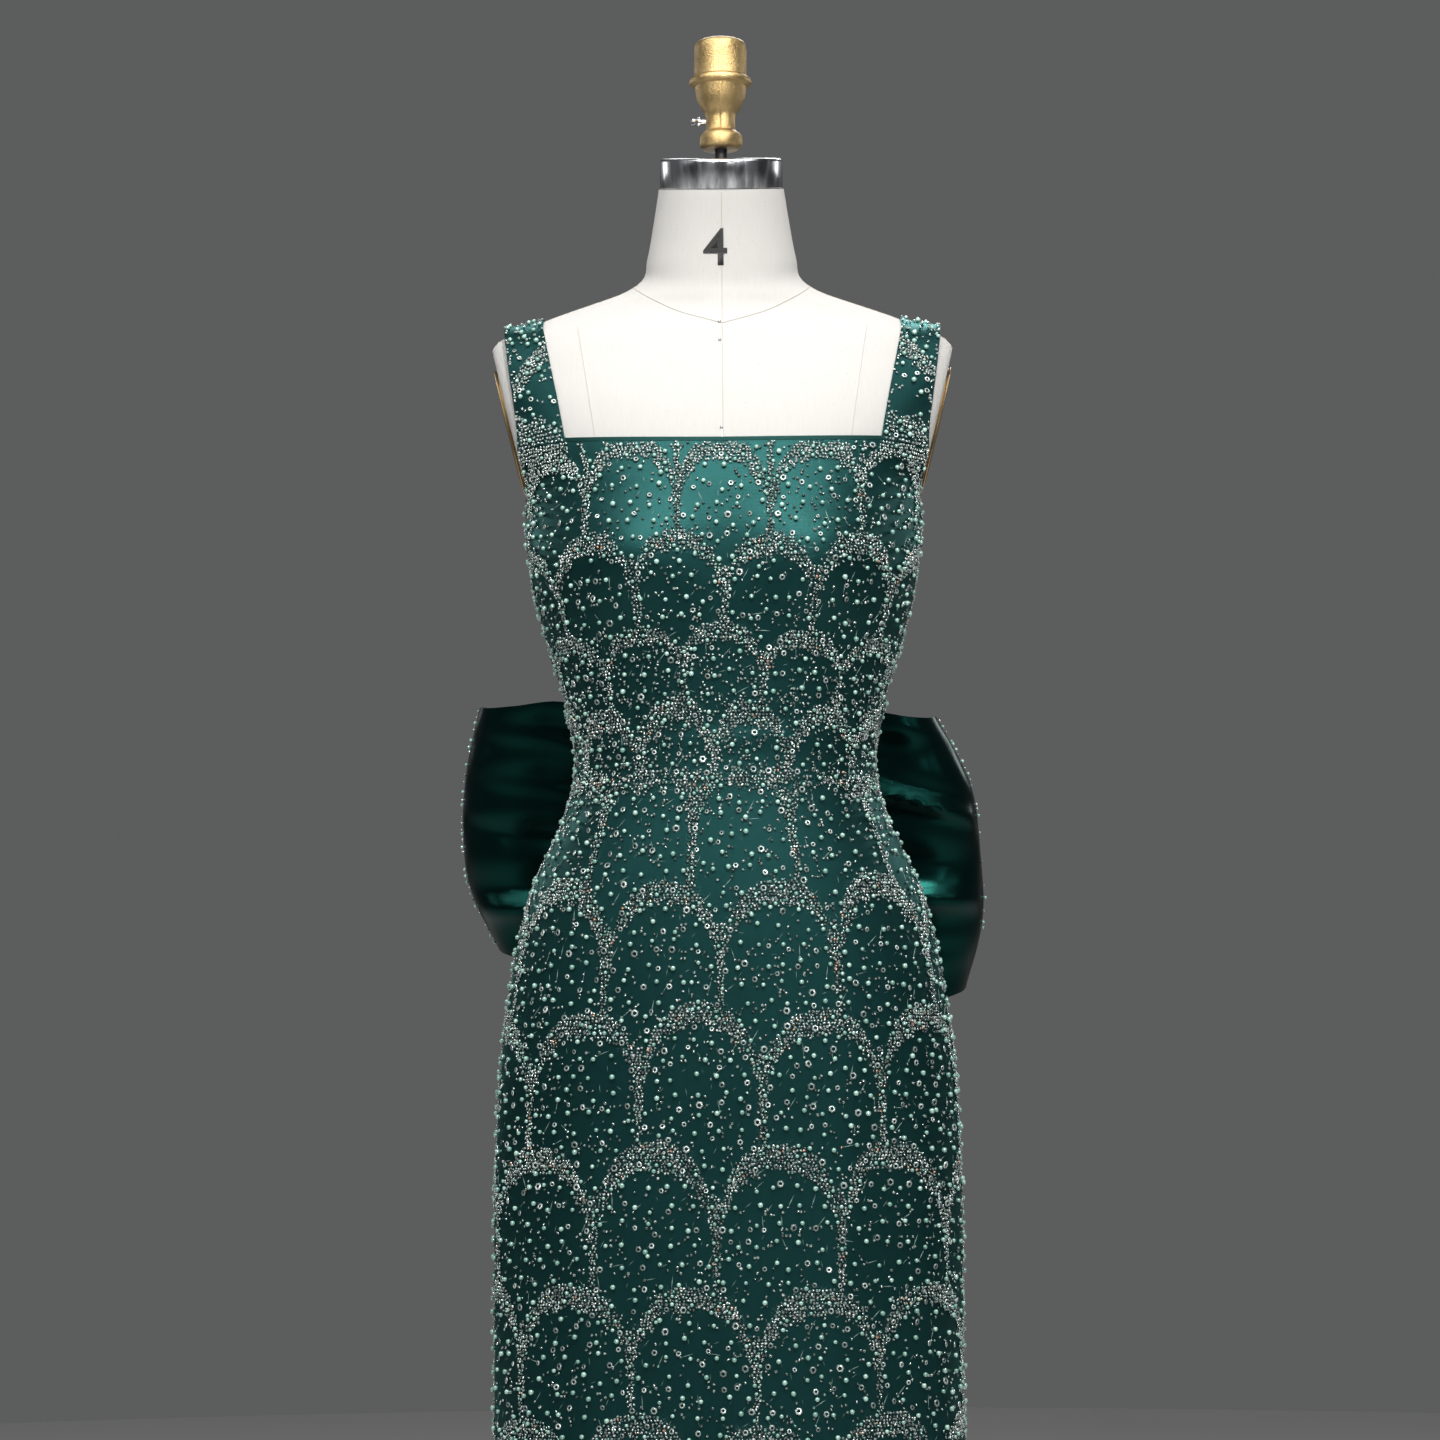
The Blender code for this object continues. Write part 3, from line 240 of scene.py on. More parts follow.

# %% [markdown]
# ## Reading the net, and the gown's soft creases
#
# Cloth that is cut close still shows where it pulls and where it relaxes: drag lines from
# the underarm, small rolls above the waist seam, long shallow folds in the skirt. They
# could be simulated, but a fitted gown hardly moves, so each crease is listed as a
# long soft ridge or trough with its own length, width, slant and depth. Real creases are
# never alike, and neither are these.

# %% Creases and places on the cloth
Crease = namedtuple("Crease", "around z long wide slant depth")
CREASES = [Crease(*row) for row in (
    (0.88, 1.236, 0.034, 0.0060, 35, 0.0016),
    (0.80, 1.214, 0.040, 0.0065, 28, 0.0012),
    (-0.90, 1.240, 0.030, 0.0060, -38, 0.0015),
    (-0.78, 1.222, 0.038, 0.0070, -24, 0.0011),
    (0.30, 1.262, 0.050, 0.0080, 4, 0.0007),
    (-0.38, 1.268, 0.042, 0.0075, -6, 0.0007),
    (0.92, 1.105, 0.045, 0.0055, 8, 0.0015),
    (0.70, 1.086, 0.040, 0.0060, 14, 0.0012),
    (-0.90, 1.098, 0.042, 0.0055, -10, 0.0015),
    (-0.66, 1.078, 0.044, 0.0060, -16, 0.0012),
    (0.10, 1.075, 0.060, 0.0065, 3, 0.0009),
    (-0.95, 1.140, 0.036, 0.0060, -18, 0.0011),
    (0.96, 1.150, 0.034, 0.0060, 20, 0.0012),
    (0.78, 1.010, 0.050, 0.0080, -22, 0.0010),
    (-0.74, 1.004, 0.052, 0.0085, 24, 0.0010),
    (0.34, 0.690, 0.170, 0.0170, 86, 0.0022),
    (-0.46, 0.640, 0.200, 0.0180, 92, 0.0024),
    (0.02, 0.560, 0.150, 0.0160, 88, 0.0018),
    (0.74, 0.600, 0.190, 0.0190, 94, 0.0026),
    (-0.86, 0.700, 0.160, 0.0170, 85, 0.0022),
    (0.20, 0.330, 0.180, 0.0200, 90, 0.0032),
    (-0.28, 0.280, 0.210, 0.0190, 87, 0.0035),
    (0.58, 0.240, 0.180, 0.0210, 92, 0.0034),
    (-0.68, 0.360, 0.170, 0.0200, 93, 0.0030),
    (1.22, 0.640, 0.200, 0.0190, 88, 0.0025),
    (1.64, 0.560, 0.180, 0.0180, 91, 0.0024),
    (1.40, 0.290, 0.200, 0.0210, 92, 0.0034),
    (-1.30, 0.580, 0.190, 0.0180, 90, 0.0026),
    (-1.70, 0.680, 0.160, 0.0170, 86, 0.0020),
    (-1.48, 0.260, 0.190, 0.0210, 88, 0.0036),
    (-1.86, 0.380, 0.170, 0.0190, 93, 0.0028),
    (1.86, 0.350, 0.180, 0.0200, 89, 0.0030),
    (1.30, 1.100, 0.044, 0.0060, -12, 0.0014),
    (1.66, 1.082, 0.048, 0.0065, -7, 0.0012),
    (-1.34, 1.092, 0.042, 0.0060, 14, 0.0014),
    (-1.70, 1.118, 0.046, 0.0065, 9, 0.0012),
    (1.24, 1.225, 0.036, 0.0065, -30, 0.0013),
    (-1.22, 1.218, 0.038, 0.0065, 32, 0.0013),
)]
CREASE_SHADE = 0.0010


def wrapped(around):
    """A place round the figure, brought back between -2 and 2."""
    return (around + 2.0) % 4.0 - 2.0


def quarter_length(around, z):
    """How long the figure's quarter is at a place, in metres."""
    front, back = np.interp(z, net_z, net_front), np.interp(z, net_z, net_back)
    return np.where(np.abs(wrapped(around)) <= 1.0, front, back)


def crease_at(around, z):
    """How far the cloth's creases lift it at a place."""
    total = np.zeros(np.broadcast(around, z).shape)
    for crease in CREASES:
        sideways = wrapped(around - crease.around) * quarter_length(around, z)
        up = z - crease.z
        turn = math.radians(crease.slant)
        along = (sideways * math.cos(turn) + up * math.sin(turn)) / crease.long
        across = -sideways * math.sin(turn) + up * math.cos(turn)
        ridge = np.exp(-(along**2) - (across / crease.wide) ** 2)
        trough = np.exp(-(along**2) - ((across - 2 * crease.wide) / crease.wide) ** 2)
        total += crease.depth * ridge - min(crease.depth * 0.5, CREASE_SHADE) * trough
    return total


def net_between(grids, row, column):
    """Values of nets of numbers at a place between their points."""
    row, column = np.broadcast_arrays(row, column)
    rows, columns = grids[0].shape[:2]
    i, j = np.minimum(row.astype(int), rows - 2), np.minimum(column.astype(int), columns - 2)
    down, right = (row - i)[..., None], (column - j)[..., None]
    low, high = ([grid[k, j] * (1 - right) + grid[k, j + 1] * right for grid in grids] for k in (i, i + 1))
    return [a * (1 - down) + b * down for a, b in zip(low, high)]


def read_net(around, z):
    """Points and normals of the figure at places between the net's points."""
    column = (wrapped(np.asarray(around, float)) + 2.0) / 4.0 * (NET_COLUMNS - 1)
    row = np.clip((np.asarray(z, float) - net_z[0]) / NET_STEP_Z, 0, len(net_z) - 1.001)
    points, normals = net_between((net_points, net_normals), row, column)
    return points, unit(normals)


def on_cloth(around, z, out):
    """Points that lie out from the figure, with the cloth's creases, and the way out there."""
    points, normals = read_net(around, z)
    lift = np.asarray(out + crease_at(around, z))
    return points + normals * lift[..., None], normals


def around_at(x, z, back=False):
    """Where round the figure its surface is a distance x from the centre line."""
    places = np.linspace(float(back), 1.0 + back, 801)
    xs = read_net(places, z)[0][:, 0]
    order = np.argsort(xs)
    return float(np.interp(x, xs[order], places[order]))


print("creases", len(CREASES), "deepest", max(c.depth for c in CREASES) * 1000, "mm")

# %% [markdown]
# ## Helpers that turn points into meshes
#
# Three kinds of piece come again and again: a wall of cloth between two nets of points, a
# shape turned on a lathe, and a thin round line laid along a path. Each gets one helper.
# A wall is closed all round its rim, so that the cloth has a real thickness and no holes.
#
# Every helper takes the finished object's name, so that a piece can be found later.

# %% Mesh helpers
def link_object(name, data):
    """A new object in the scene, for a mesh, a light or a camera."""
    obj = bpy.data.objects.new(name, data)
    bpy.context.scene.collection.objects.link(obj)
    return obj


def new_object(name, points, faces, material, uvs=None, sharp_degrees=40.0):
    """An object from points and faces. uvs maps a UV layer's name to a pair for each point."""
    mesh = bpy.data.meshes.new(name)
    mesh.from_pydata(np.asarray(points).reshape(-1, 3).tolist(), [], [tuple(f) for f in faces])
    mesh.materials.append(material)
    corners = np.zeros(len(mesh.loops), np.int32)
    mesh.loops.foreach_get("vertex_index", corners)
    for layer, pairs in (uvs or {}).items():
        pairs = np.asarray(pairs, np.float32).reshape(-1, 2)
        mesh.uv_layers.new(name=layer).data.foreach_set("uv", pairs[corners].ravel())
    mesh.shade_smooth()
    mesh.set_sharp_from_angle(angle=math.radians(sharp_degrees))
    mesh.validate()
    return link_object(name, mesh)


def grid_faces(rows, columns, first=0, flip=False):
    """The four-sided faces of a net of points."""
    i, j = np.meshgrid(np.arange(rows - 1), np.arange(columns - 1), indexing="ij")
    a = (first + i * columns + j).ravel()
    faces = np.stack([a, a + 1, a + columns + 1, a + columns], axis=1)
    return (faces[:, ::-1] if flip else faces).tolist()


def rim(index):
    """The four edges of a net, in turn."""
    return index[0], index[:, -1], index[-1, ::-1], index[::-1, 0]


def wall(name, inner, outer, material, uvs=None, coarse=3, attributes=None):
    """A closed wall between two nets of points, with a rim all round.

    The hidden inner side has only every third row and column, where the counts allow it.
    attributes maps a name to a number for each point of the outer net.
    """
    rows, columns = outer.shape[:2]
    step = coarse if (rows - 1) % coarse == 0 and (columns - 1) % coarse == 0 else 1
    inner = inner[::step, ::step]
    few = inner.shape[0] * inner.shape[1]
    near = np.arange(few).reshape(inner.shape[:2])
    far = few + np.arange(rows * columns).reshape(rows, columns)
    faces = grid_faces(*near.shape, flip=True) + grid_faces(rows, columns, few)
    for near_edge, far_edge in zip(rim(near), rim(far)):
        for k in range(len(near_edge) - 1):
            between = far_edge[k * step:(k + 1) * step + 1]
            faces.append([*near_edge[k:k + 2].tolist(), *between[::-1].tolist()])

    def both(values):
        flat = np.asarray(values, float).reshape(rows, columns, -1)
        return np.concatenate([flat[::step, ::step].reshape(few, -1), flat.reshape(rows * columns, -1)])

    points = np.concatenate([inner.reshape(-1, 3), outer.reshape(-1, 3)])
    obj = new_object(name, points, faces, material, {k: both(v) for k, v in (uvs or {}).items()})
    for key, values in (attributes or {}).items():
        attribute = obj.data.attributes.new(key, "FLOAT", "POINT")
        attribute.data.foreach_set("value", both(values).astype(np.float32).ravel())
    return outward(obj)


def lofted(name, rings, material, sharp_degrees=40.0, uvs=None):
    """A closed solid through rings of points, from bottom to top, with a flat end at each."""
    rings = np.asarray(rings, float)
    index = np.arange(rings.shape[0] * rings.shape[1]).reshape(rings.shape[:2])
    low, high = index[:-1], index[1:]
    sides = np.stack([low, np.roll(low, -1, 1), np.roll(high, -1, 1), high], axis=-1).reshape(-1, 4)
    faces = sides.tolist() + [index[0][::-1].tolist(), index[-1].tolist()]
    return new_object(name, rings, faces, material, uvs, sharp_degrees)


def outward(obj):
    """Turns a closed object's faces outwards."""
    bm = bmesh.new()
    bm.from_mesh(obj.data)
    bmesh.ops.recalc_face_normals(bm, faces=bm.faces)
    bm.to_mesh(obj.data)
    bm.free()
    return obj


def turned(name, profile, segments, material, place=(0, 0, 0), tilt=(0, 0, 0), sharp_degrees=40.0):
    """A piece turned about its own axis. profile is (radius, height), bottom to top."""
    turns = np.linspace(0, 2 * math.pi, segments, endpoint=False)
    rings = [[(r * math.cos(t), r * math.sin(t), h) for t in turns] for r, h in profile]
    rings = np.asarray(rings) @ np.array(Euler(tilt).to_matrix()).T + np.array(place)
    return lofted(name, rings, material, sharp_degrees)


def tube(name, path, radius, material, sides=6, normals=None):
    """A thin round line along a path, closed at both ends."""
    path = np.asarray(path, float)
    along = unit(np.gradient(path, axis=0))
    up = np.tile([0.0, 0.0, 1.0], (len(path), 1)) if normals is None else np.asarray(normals)
    across = unit(np.cross(along, up))
    up = np.cross(across, along)
    turns = np.linspace(0, 2 * math.pi, sides, endpoint=False)
    rings = [path + radius * (np.cos(t) * across + np.sin(t) * up) for t in turns]
    return outward(lofted(name, np.stack(rings, axis=1), material))


def rounded_profile(profile, rounds, steps=4):
    """A lathe profile with chosen corners rounded. rounds maps a corner's index to its radius."""
    rounded = []
    for i, corner in enumerate(profile):
        if i not in rounds:
            rounded.append(tuple(corner))
            continue
        here, before, after = (np.array(profile[k], float) for k in (i, i - 1, i + 1))
        sides = [(side - here, np.linalg.norm(side - here)) for side in (before, after)]
        reach = min(rounds[i], *(0.45 * length for _, length in sides))
        start, end = (here + way / length * reach for way, length in sides)
        for t in np.linspace(0, 1, steps + 1):
            rounded.append(tuple((1 - t) ** 2 * start + 2 * t * (1 - t) * here + t**2 * end))
    return rounded


print("helpers ready")

# %% [markdown]
# ## Effects that several finishes share
#
# A finish is a Principled shader with patterns plugged into it. Threads, wear and specks
# turn up in more than one finish, so each of these patterns is built once as a node group
# with named sockets. A group only gives out a colour, a mask or a height. The shader itself
# stays in each material, where its plain numbers are easy to find.

# %% Node helpers and shared groups
SOCKET_KINDS = {float: "Float", int: "Int", tuple: "Vector"}


def fill(tree, node, **inputs):
    """Gives a node's inputs their numbers, colours or links.

    An input is named by its label, with underscores for spaces, or by its number after one.
    """
    for key, value in inputs.items():
        socket = node.inputs[int(key[1:]) if key[0] == "_" else key.replace("_", " ")]
        if isinstance(value, bpy.types.NodeSocket):
            tree.links.new(value, socket)
        else:
            socket.default_value = (*value, 1.0) if socket.type == "RGBA" else value
    return node


def add_node(tree, kind, settings=None, **inputs):
    """A new node with its settings and its inputs."""
    node = tree.nodes.new(kind)
    for key, value in (settings or {}).items():
        setattr(node, key, value)
    return fill(tree, node, **inputs)


def result(tree, kind, settings=None, **inputs):
    """A new node's first output."""
    return add_node(tree, kind, settings, **inputs).outputs[0]


def maths(tree, operation, first, second=0.0, third=0.0):
    """A Math node's result."""
    return result(tree, "ShaderNodeMath", {"operation": operation}, _0=first, _1=second, _2=third)


def times(tree, first, second):
    """Two numbers multiplied."""
    return maths(tree, "MULTIPLY", first, second)


def vector_maths(tree, operation, first, **inputs):
    """A Vector Math node's result."""
    return result(tree, "ShaderNodeVectorMath", {"operation": operation}, _0=first, **inputs)


def noise(tree, place, scale, detail=2.0, roughness=0.5):
    """A cloudy pattern of numbers from 0 to 1."""
    return result(tree, "ShaderNodeTexNoise", Vector=place, Scale=scale, Detail=detail, Roughness=roughness)


def new_tree(family, name, inputs, outputs):
    """An empty node tree with named sockets, its inputs' sockets and its end.

    inputs and outputs map a socket's name to its default value, or to its kind without one.
    """
    tree = bpy.data.node_groups.new(name, family)
    for way, sockets in (("INPUT", inputs), ("OUTPUT", outputs)):
        for label, value in sockets.items():
            kind = value if isinstance(value, str) else SOCKET_KINDS[type(value)]
            socket = tree.interface.new_socket(label, in_out=way, socket_type="NodeSocket" + kind)
            if kind != value:
                socket.default_value = value
    return tree, tree.nodes.new("NodeGroupInput").outputs, tree.nodes.new("NodeGroupOutput")


def make_thread_group():
    """Crossing threads: a height for bump and a slow change of tone from thread to thread."""
    tree, start, end = new_tree("ShaderNodeTree", "threads",
                                {"Vector": "Vector", "Pitch": 0.0006, "Float length": 1.0},
                                {"Height": "Float", "Tone": "Float"})
    apart = add_node(tree, "ShaderNodeSeparateXYZ", _0=start["Vector"]).outputs
    turn = maths(tree, "DIVIDE", 2 * math.pi, start["Pitch"])
    warp = maths(tree, "SINE", times(tree, apart[0], turn))
    weft = maths(tree, "SINE", times(tree, apart[1], maths(tree, "DIVIDE", turn, start["Float length"])))
    crossed = maths(tree, "MULTIPLY_ADD", times(tree, warp, weft), 0.5, 0.5)
    slubs = noise(tree, vector_maths(tree, "MULTIPLY", start["Vector"], _1=(900.0, 60.0, 60.0)), 1.0)
    fill(tree, end, Height=crossed, Tone=slubs)
    return tree


def make_wear_group():
    """Handling marks on metal: broad smudges and a fine grain."""
    tree, start, end = new_tree("ShaderNodeTree", "handling marks", {"Vector": "Vector", "Size": 0.02},
                                {"Smudge": "Float", "Grain": "Float"})
    scale = maths(tree, "DIVIDE", 1.0, start["Size"])
    fill(tree, end, Smudge=noise(tree, start["Vector"], scale, 4.0, 0.62),
         Grain=noise(tree, start["Vector"], times(tree, scale, 14.0), 3.0, 0.7))
    return tree


def make_speck_group():
    """Small specks strewn over a surface, as a mask."""
    tree, start, end = new_tree("ShaderNodeTree", "specks",
                                {"Vector": "Vector", "Spacing": 0.01, "Size": 0.12}, {"Mask": "Float"})
    cells = add_node(tree, "ShaderNodeTexVoronoi", {"feature": "F1"}, Vector=start["Vector"],
                     Scale=maths(tree, "DIVIDE", 1.0, start["Spacing"]), Randomness=1.0)
    fill(tree, end, Mask=maths(tree, "LESS_THAN", cells.outputs["Distance"], start["Size"]))
    return tree


threads, handling, specks = make_thread_group(), make_wear_group(), make_speck_group()
print("shared groups", threads.name, handling.name, specks.name)

# %% [markdown]
# ## The finishes
#
# Satin is smooth on one side because its threads float over each other, so its gloss is
# broad and soft and its colour deep. The gown's satin lies under a net of beads: where they
# are closest, the smallest ones are too fine to be meshes, and they are a pattern of tiny
# domes here that follows the pieces' own attribute, `beads`.
#
# Linen is matt and full of slubs and dark flecks. Cast brass has a grained skin that is
# bright where hands polish it. Polished steel is nearly a mirror.

# %% Fabric finishes
def principled(name, **inputs):
    """A material, its tree and its Principled shader, with the shader's plain numbers set."""
    material = bpy.data.materials.new(name)
    material.use_nodes = True
    tree = material.node_tree
    return material, tree, fill(tree, tree.nodes["Principled BSDF"], **inputs)


def use_group(tree, group, **inputs):
    """The outputs of a node group that is placed in a tree."""
    return add_node(tree, "ShaderNodeGroup", {"node_tree": group}, **inputs).outputs


def in_cloth(tree):
    """A place in metres on the piece's own cloth."""
    return result(tree, "ShaderNodeUVMap", {"uv_map": "cloth"})


def in_piece(tree):
    """A place in the piece's own coordinates."""
    return add_node(tree, "ShaderNodeTexCoord").outputs["Object"]


def point_number(tree, name):
    """A number that the piece carries at each point."""
    return add_node(tree, "ShaderNodeAttribute", {"attribute_name": name}).outputs["Fac"]


def colour_mix(tree, share, first, second):
    """A blend of two colours."""
    return add_node(tree, "ShaderNodeMix", {"data_type": "RGBA"}, _0=share, _6=first, _7=second).outputs[2]


def spread(tree, value, low, high):
    """A value from 0 to 1 brought into another range."""
    return result(tree, "ShaderNodeMapRange", Value=value, To_Min=low, To_Max=high)


def bumped(tree, shader, height, distance, strength=1.0):
    """Plugs a height into the shader as a bump."""
    bump = result(tree, "ShaderNodeBump", Height=height, Distance=distance, Strength=strength)
    fill(tree, shader, Normal=bump)


def woven(tree, place, pitch, float_length, dark, light):
    """A weave's height and tone, and a colour that follows the tone."""
    height, tone = use_group(tree, threads, Vector=place, Pitch=pitch, Float_length=float_length)
    return height, tone, colour_mix(tree, tone, dark, light)


SATIN_DARK = (0.0020, 0.0140, 0.0144)
SATIN_LIGHT = (0.0066, 0.0385, 0.0378)
SATIN_GLOSS = (0.25, 0.90, 0.85)
BEAD_GROUND = (0.0260, 0.0400, 0.0390)
MICRO_BEAD = 0.0013


def make_gown_satin():
    """Satin with threads, a slow change of depth, and tiny beads where the beadwork is close."""
    material, tree, shader = principled("gown_satin", Metallic=0.6, Roughness=0.38, Specular_IOR_Level=0.7,
                                        Specular_Tint=SATIN_GLOSS)
    place = in_cloth(tree)
    height, tone = use_group(tree, threads, Vector=place, Pitch=0.0007, Float_length=3.0)
    depth = maths(tree, "MULTIPLY_ADD", tone, 0.5, times(tree, noise(tree, place, 9.0, 3.0), 0.5))
    domes = result(tree, "ShaderNodeTexVoronoi", {"feature": "SMOOTH_F1"}, Vector=place,
                   Scale=1.0 / MICRO_BEAD, Smoothness=0.3)
    dome = maths(tree, "POWER", maths(tree, "SUBTRACT", 1.0, domes), 3.0)
    lit = times(tree, dome, point_number(tree, "beads"))
    base = colour_mix(tree, depth, SATIN_DARK, SATIN_LIGHT)
    fill(tree, shader, Base_Color=colour_mix(tree, lit, base, BEAD_GROUND),
         Roughness=spread(tree, lit, 0.40, 0.28))
    bumped(tree, shader, maths(tree, "MULTIPLY_ADD", lit, 3.0, times(tree, height, 0.35)), 0.00022)
    return material


def make_bow_satin_painted_shade():
    """The bow's satin: smoother and with longer lights, its colour painted far darker than the gown's satin
    as painted shade.
    """
    material, tree, shader = principled("bow_satin", Roughness=0.22, Specular_IOR_Level=0.26,
                                        Specular_Tint=(0.10, 0.85, 0.72))
    place = in_cloth(tree)
    # Its near-black colour is painted shade, far darker than the gown's own satin.
    height, tone, base = woven(tree, place, 0.0006, 4.0, (0.0003, 0.0016, 0.0015), (0.0005, 0.0034, 0.0031))
    fill(tree, shader, Base_Color=base, Roughness=spread(tree, tone, 0.20, 0.25))
    crumple = noise(tree, place, 16.0, 0.0)
    bumped(tree, shader, maths(tree, "MULTIPLY_ADD", height, 0.015, crumple), 0.0030, 0.5)
    return material


def make_binding_satin():
    """The neckline's binding: the same satin cut on the cross, so its threads run slantwise."""
    material, tree, shader = principled("binding_satin", Roughness=0.45, Specular_IOR_Level=0.3,
                                        Specular_Tint=SATIN_GLOSS)
    slant = result(tree, "ShaderNodeMapping", Vector=in_cloth(tree), Rotation=(0.0, 0.0, math.pi / 4))
    height, _, base = woven(tree, slant, 0.0006, 2.0, (0.0016, 0.010, 0.009), (0.0030, 0.018, 0.016))
    fill(tree, shader, Base_Color=base)
    bumped(tree, shader, height, 0.0001)
    return material


def make_linen():
    """The form's cream linen: a plain weave with slubs and scattered dark flecks."""
    material, tree, shader = principled("cream_linen", Roughness=0.88, Sheen_Weight=0.12,
                                        Specular_IOR_Level=0.25)
    place = in_cloth(tree)
    height, _, base = woven(tree, place, 0.0011, 1.0, (0.395, 0.387, 0.373), (0.440, 0.434, 0.421))
    spots = use_group(tree, specks, Vector=place, Spacing=0.0062, Size=0.07)["Mask"]
    fill(tree, shader, Base_Color=colour_mix(tree, times(tree, spots, 0.55), base, (0.30, 0.24, 0.17)))
    bumped(tree, shader, height, 0.00018)
    return material


def make_plain_cloth(name, dark, light, pitch):
    """A matt woven cloth for tapes and threads, read in its object's own coordinates."""
    material, tree, shader = principled(name, Roughness=0.75, Sheen_Weight=0.2)
    height, _, base = woven(tree, in_piece(tree), pitch, 1.0, dark, light)
    fill(tree, shader, Base_Color=base)
    bumped(tree, shader, height, 0.0001)
    return material


gown_satin, bow_satin, binding_satin = make_gown_satin(), make_bow_satin_painted_shade(), make_binding_satin()
linen = make_linen()
zip_tape = make_plain_cloth("zip_tape", (0.004, 0.030, 0.025), (0.008, 0.050, 0.042), 0.0006)
seam_thread = make_plain_cloth("seam_thread", (0.31, 0.293, 0.258), (0.39, 0.37, 0.335), 0.0005)
numeral_ink = make_plain_cloth("numeral_ink", (0.004, 0.004, 0.0045), (0.012, 0.012, 0.012), 0.0008)
bead_thread = make_plain_cloth("bead_thread", (0.03, 0.09, 0.08), (0.24, 0.35, 0.33), 0.0005)
print("fabric finishes", [m.name for m in (gown_satin, bow_satin, binding_satin, linen, zip_tape)])

# %% [markdown]
# ## Metal finishes and the beads' glass
#
# All the metals share the handling marks and differ in colour, gloss and grain. The neck
# cap's sheet is brushed, so it has fine upright lines in its bump and gloss, and its colour
# has dark and light upright streaks of painted reflection. Beads get their variety from one
# number, `tone`, which each bead is given when it is placed: a ramp turns it into silver,
# white, smoke, mint or copper, as in a mixed bag of beads.

# %% Metals and beads
def smooth_step(tree, value, low, high):
    """A number that rises softly from 0 to 1 between two values."""
    return result(tree, "ShaderNodeMapRange", {"interpolation_type": "SMOOTHSTEP"}, Value=value,
                  From_Min=low, From_Max=high)


def make_metal(name, dark, light, rough, size, grain):
    """A metal whose gloss and colour change a little with handling."""
    material, tree, shader = principled(name, Metallic=1.0)
    smudge, fine = use_group(tree, handling, Vector=in_piece(tree), Size=size)
    mixed = maths(tree, "MULTIPLY_ADD", fine, 0.35, times(tree, smudge, 0.65))
    fill(tree, shader, Base_Color=colour_mix(tree, smudge, dark, light),
         Roughness=spread(tree, mixed, *rough))
    bumped(tree, shader, fine, grain)
    return material


def make_brushed_painted_streaks(name, dark, light, rough):
    """Polished sheet with fine upright lines in its bump and gloss, and its colour painted in dark and
    light upright streaks as painted reflections.
    """
    material, tree, shader = principled(name, Metallic=1.0)
    drawn = vector_maths(tree, "MULTIPLY", in_piece(tree), _1=(1.0, 1.0, 0.012))
    fine, broad = noise(tree, drawn, 300.0, 1.0), noise(tree, drawn, 80.0, 1.0)
    streak = maths(tree, "MULTIPLY_ADD", broad, 0.6, times(tree, fine, 0.4))
    # The colour's dark and light upright streaks are painted reflections; the roughness and bump are the
    # brushed lines.
    fill(tree, shader, Base_Color=colour_mix(tree, smooth_step(tree, streak, 0.36, 0.66), dark, light),
         Roughness=spread(tree, fine, *rough))
    bumped(tree, shader, streak, 0.0004, 0.5)
    return material


def toned(tree, stops):
    """A bead's own tone, and the colour that a ramp gives it."""
    tone = point_number(tree, "tone")
    ramp = add_node(tree, "ShaderNodeValToRGB", Fac=tone)
    ramp.color_ramp.interpolation = "CONSTANT"
    elements = ramp.color_ramp.elements
    while len(elements) < len(stops):
        elements.new(1.0)
    for element, (position, colour) in zip(elements, stops):
        element.position, element.color = position, (*colour, 1.0)
    return tone, ramp.outputs["Color"]


SEED_TONES = (
    (0.00, (0.090, 0.125, 0.120)),
    (0.20, (0.220, 0.285, 0.270)),
    (0.46, (0.420, 0.500, 0.475)),
    (0.76, (0.860, 0.920, 0.890)),
    (0.90, (0.300, 0.540, 0.470)),
    (0.985, (0.720, 0.400, 0.270)),
)
PEARL_TONES = (
    (0.00, (0.170, 0.330, 0.280)),
    (0.35, (0.240, 0.420, 0.360)),
    (0.75, (0.340, 0.540, 0.470)),
)
RING_TONES = (
    (0.00, (0.22, 0.27, 0.26)),
    (0.40, (0.40, 0.47, 0.45)),
    (0.80, (0.60, 0.67, 0.65)),
)
HOLE_FROM, HOLE_FULL = 0.52, 0.74
HOLE_SHADE_COLOUR = (0.006, 0.010, 0.010)


def make_beads(name, stops, metallic, rough, coat, bored=False):
    """Glass, pearl or metal beads, each with its own tone and gloss; if bored, a dipped hole with painted
    shade in it.
    """
    material, tree, shader = principled(name, Metallic=metallic, Coat_Weight=coat, Coat_Roughness=0.08)
    tone, colour = toned(tree, stops)
    if bored:
        hole = smooth_step(tree, point_number(tree, "rise"), HOLE_FROM, HOLE_FULL)
        # The hole is painted near black, as painted shade inside it; the bump gives its dip.
        colour = colour_mix(tree, hole, colour, HOLE_SHADE_COLOUR)
        bumped(tree, shader, hole, -0.0007)
    fill(tree, shader, Base_Color=colour, Roughness=spread(tree, tone, *rough))
    return material


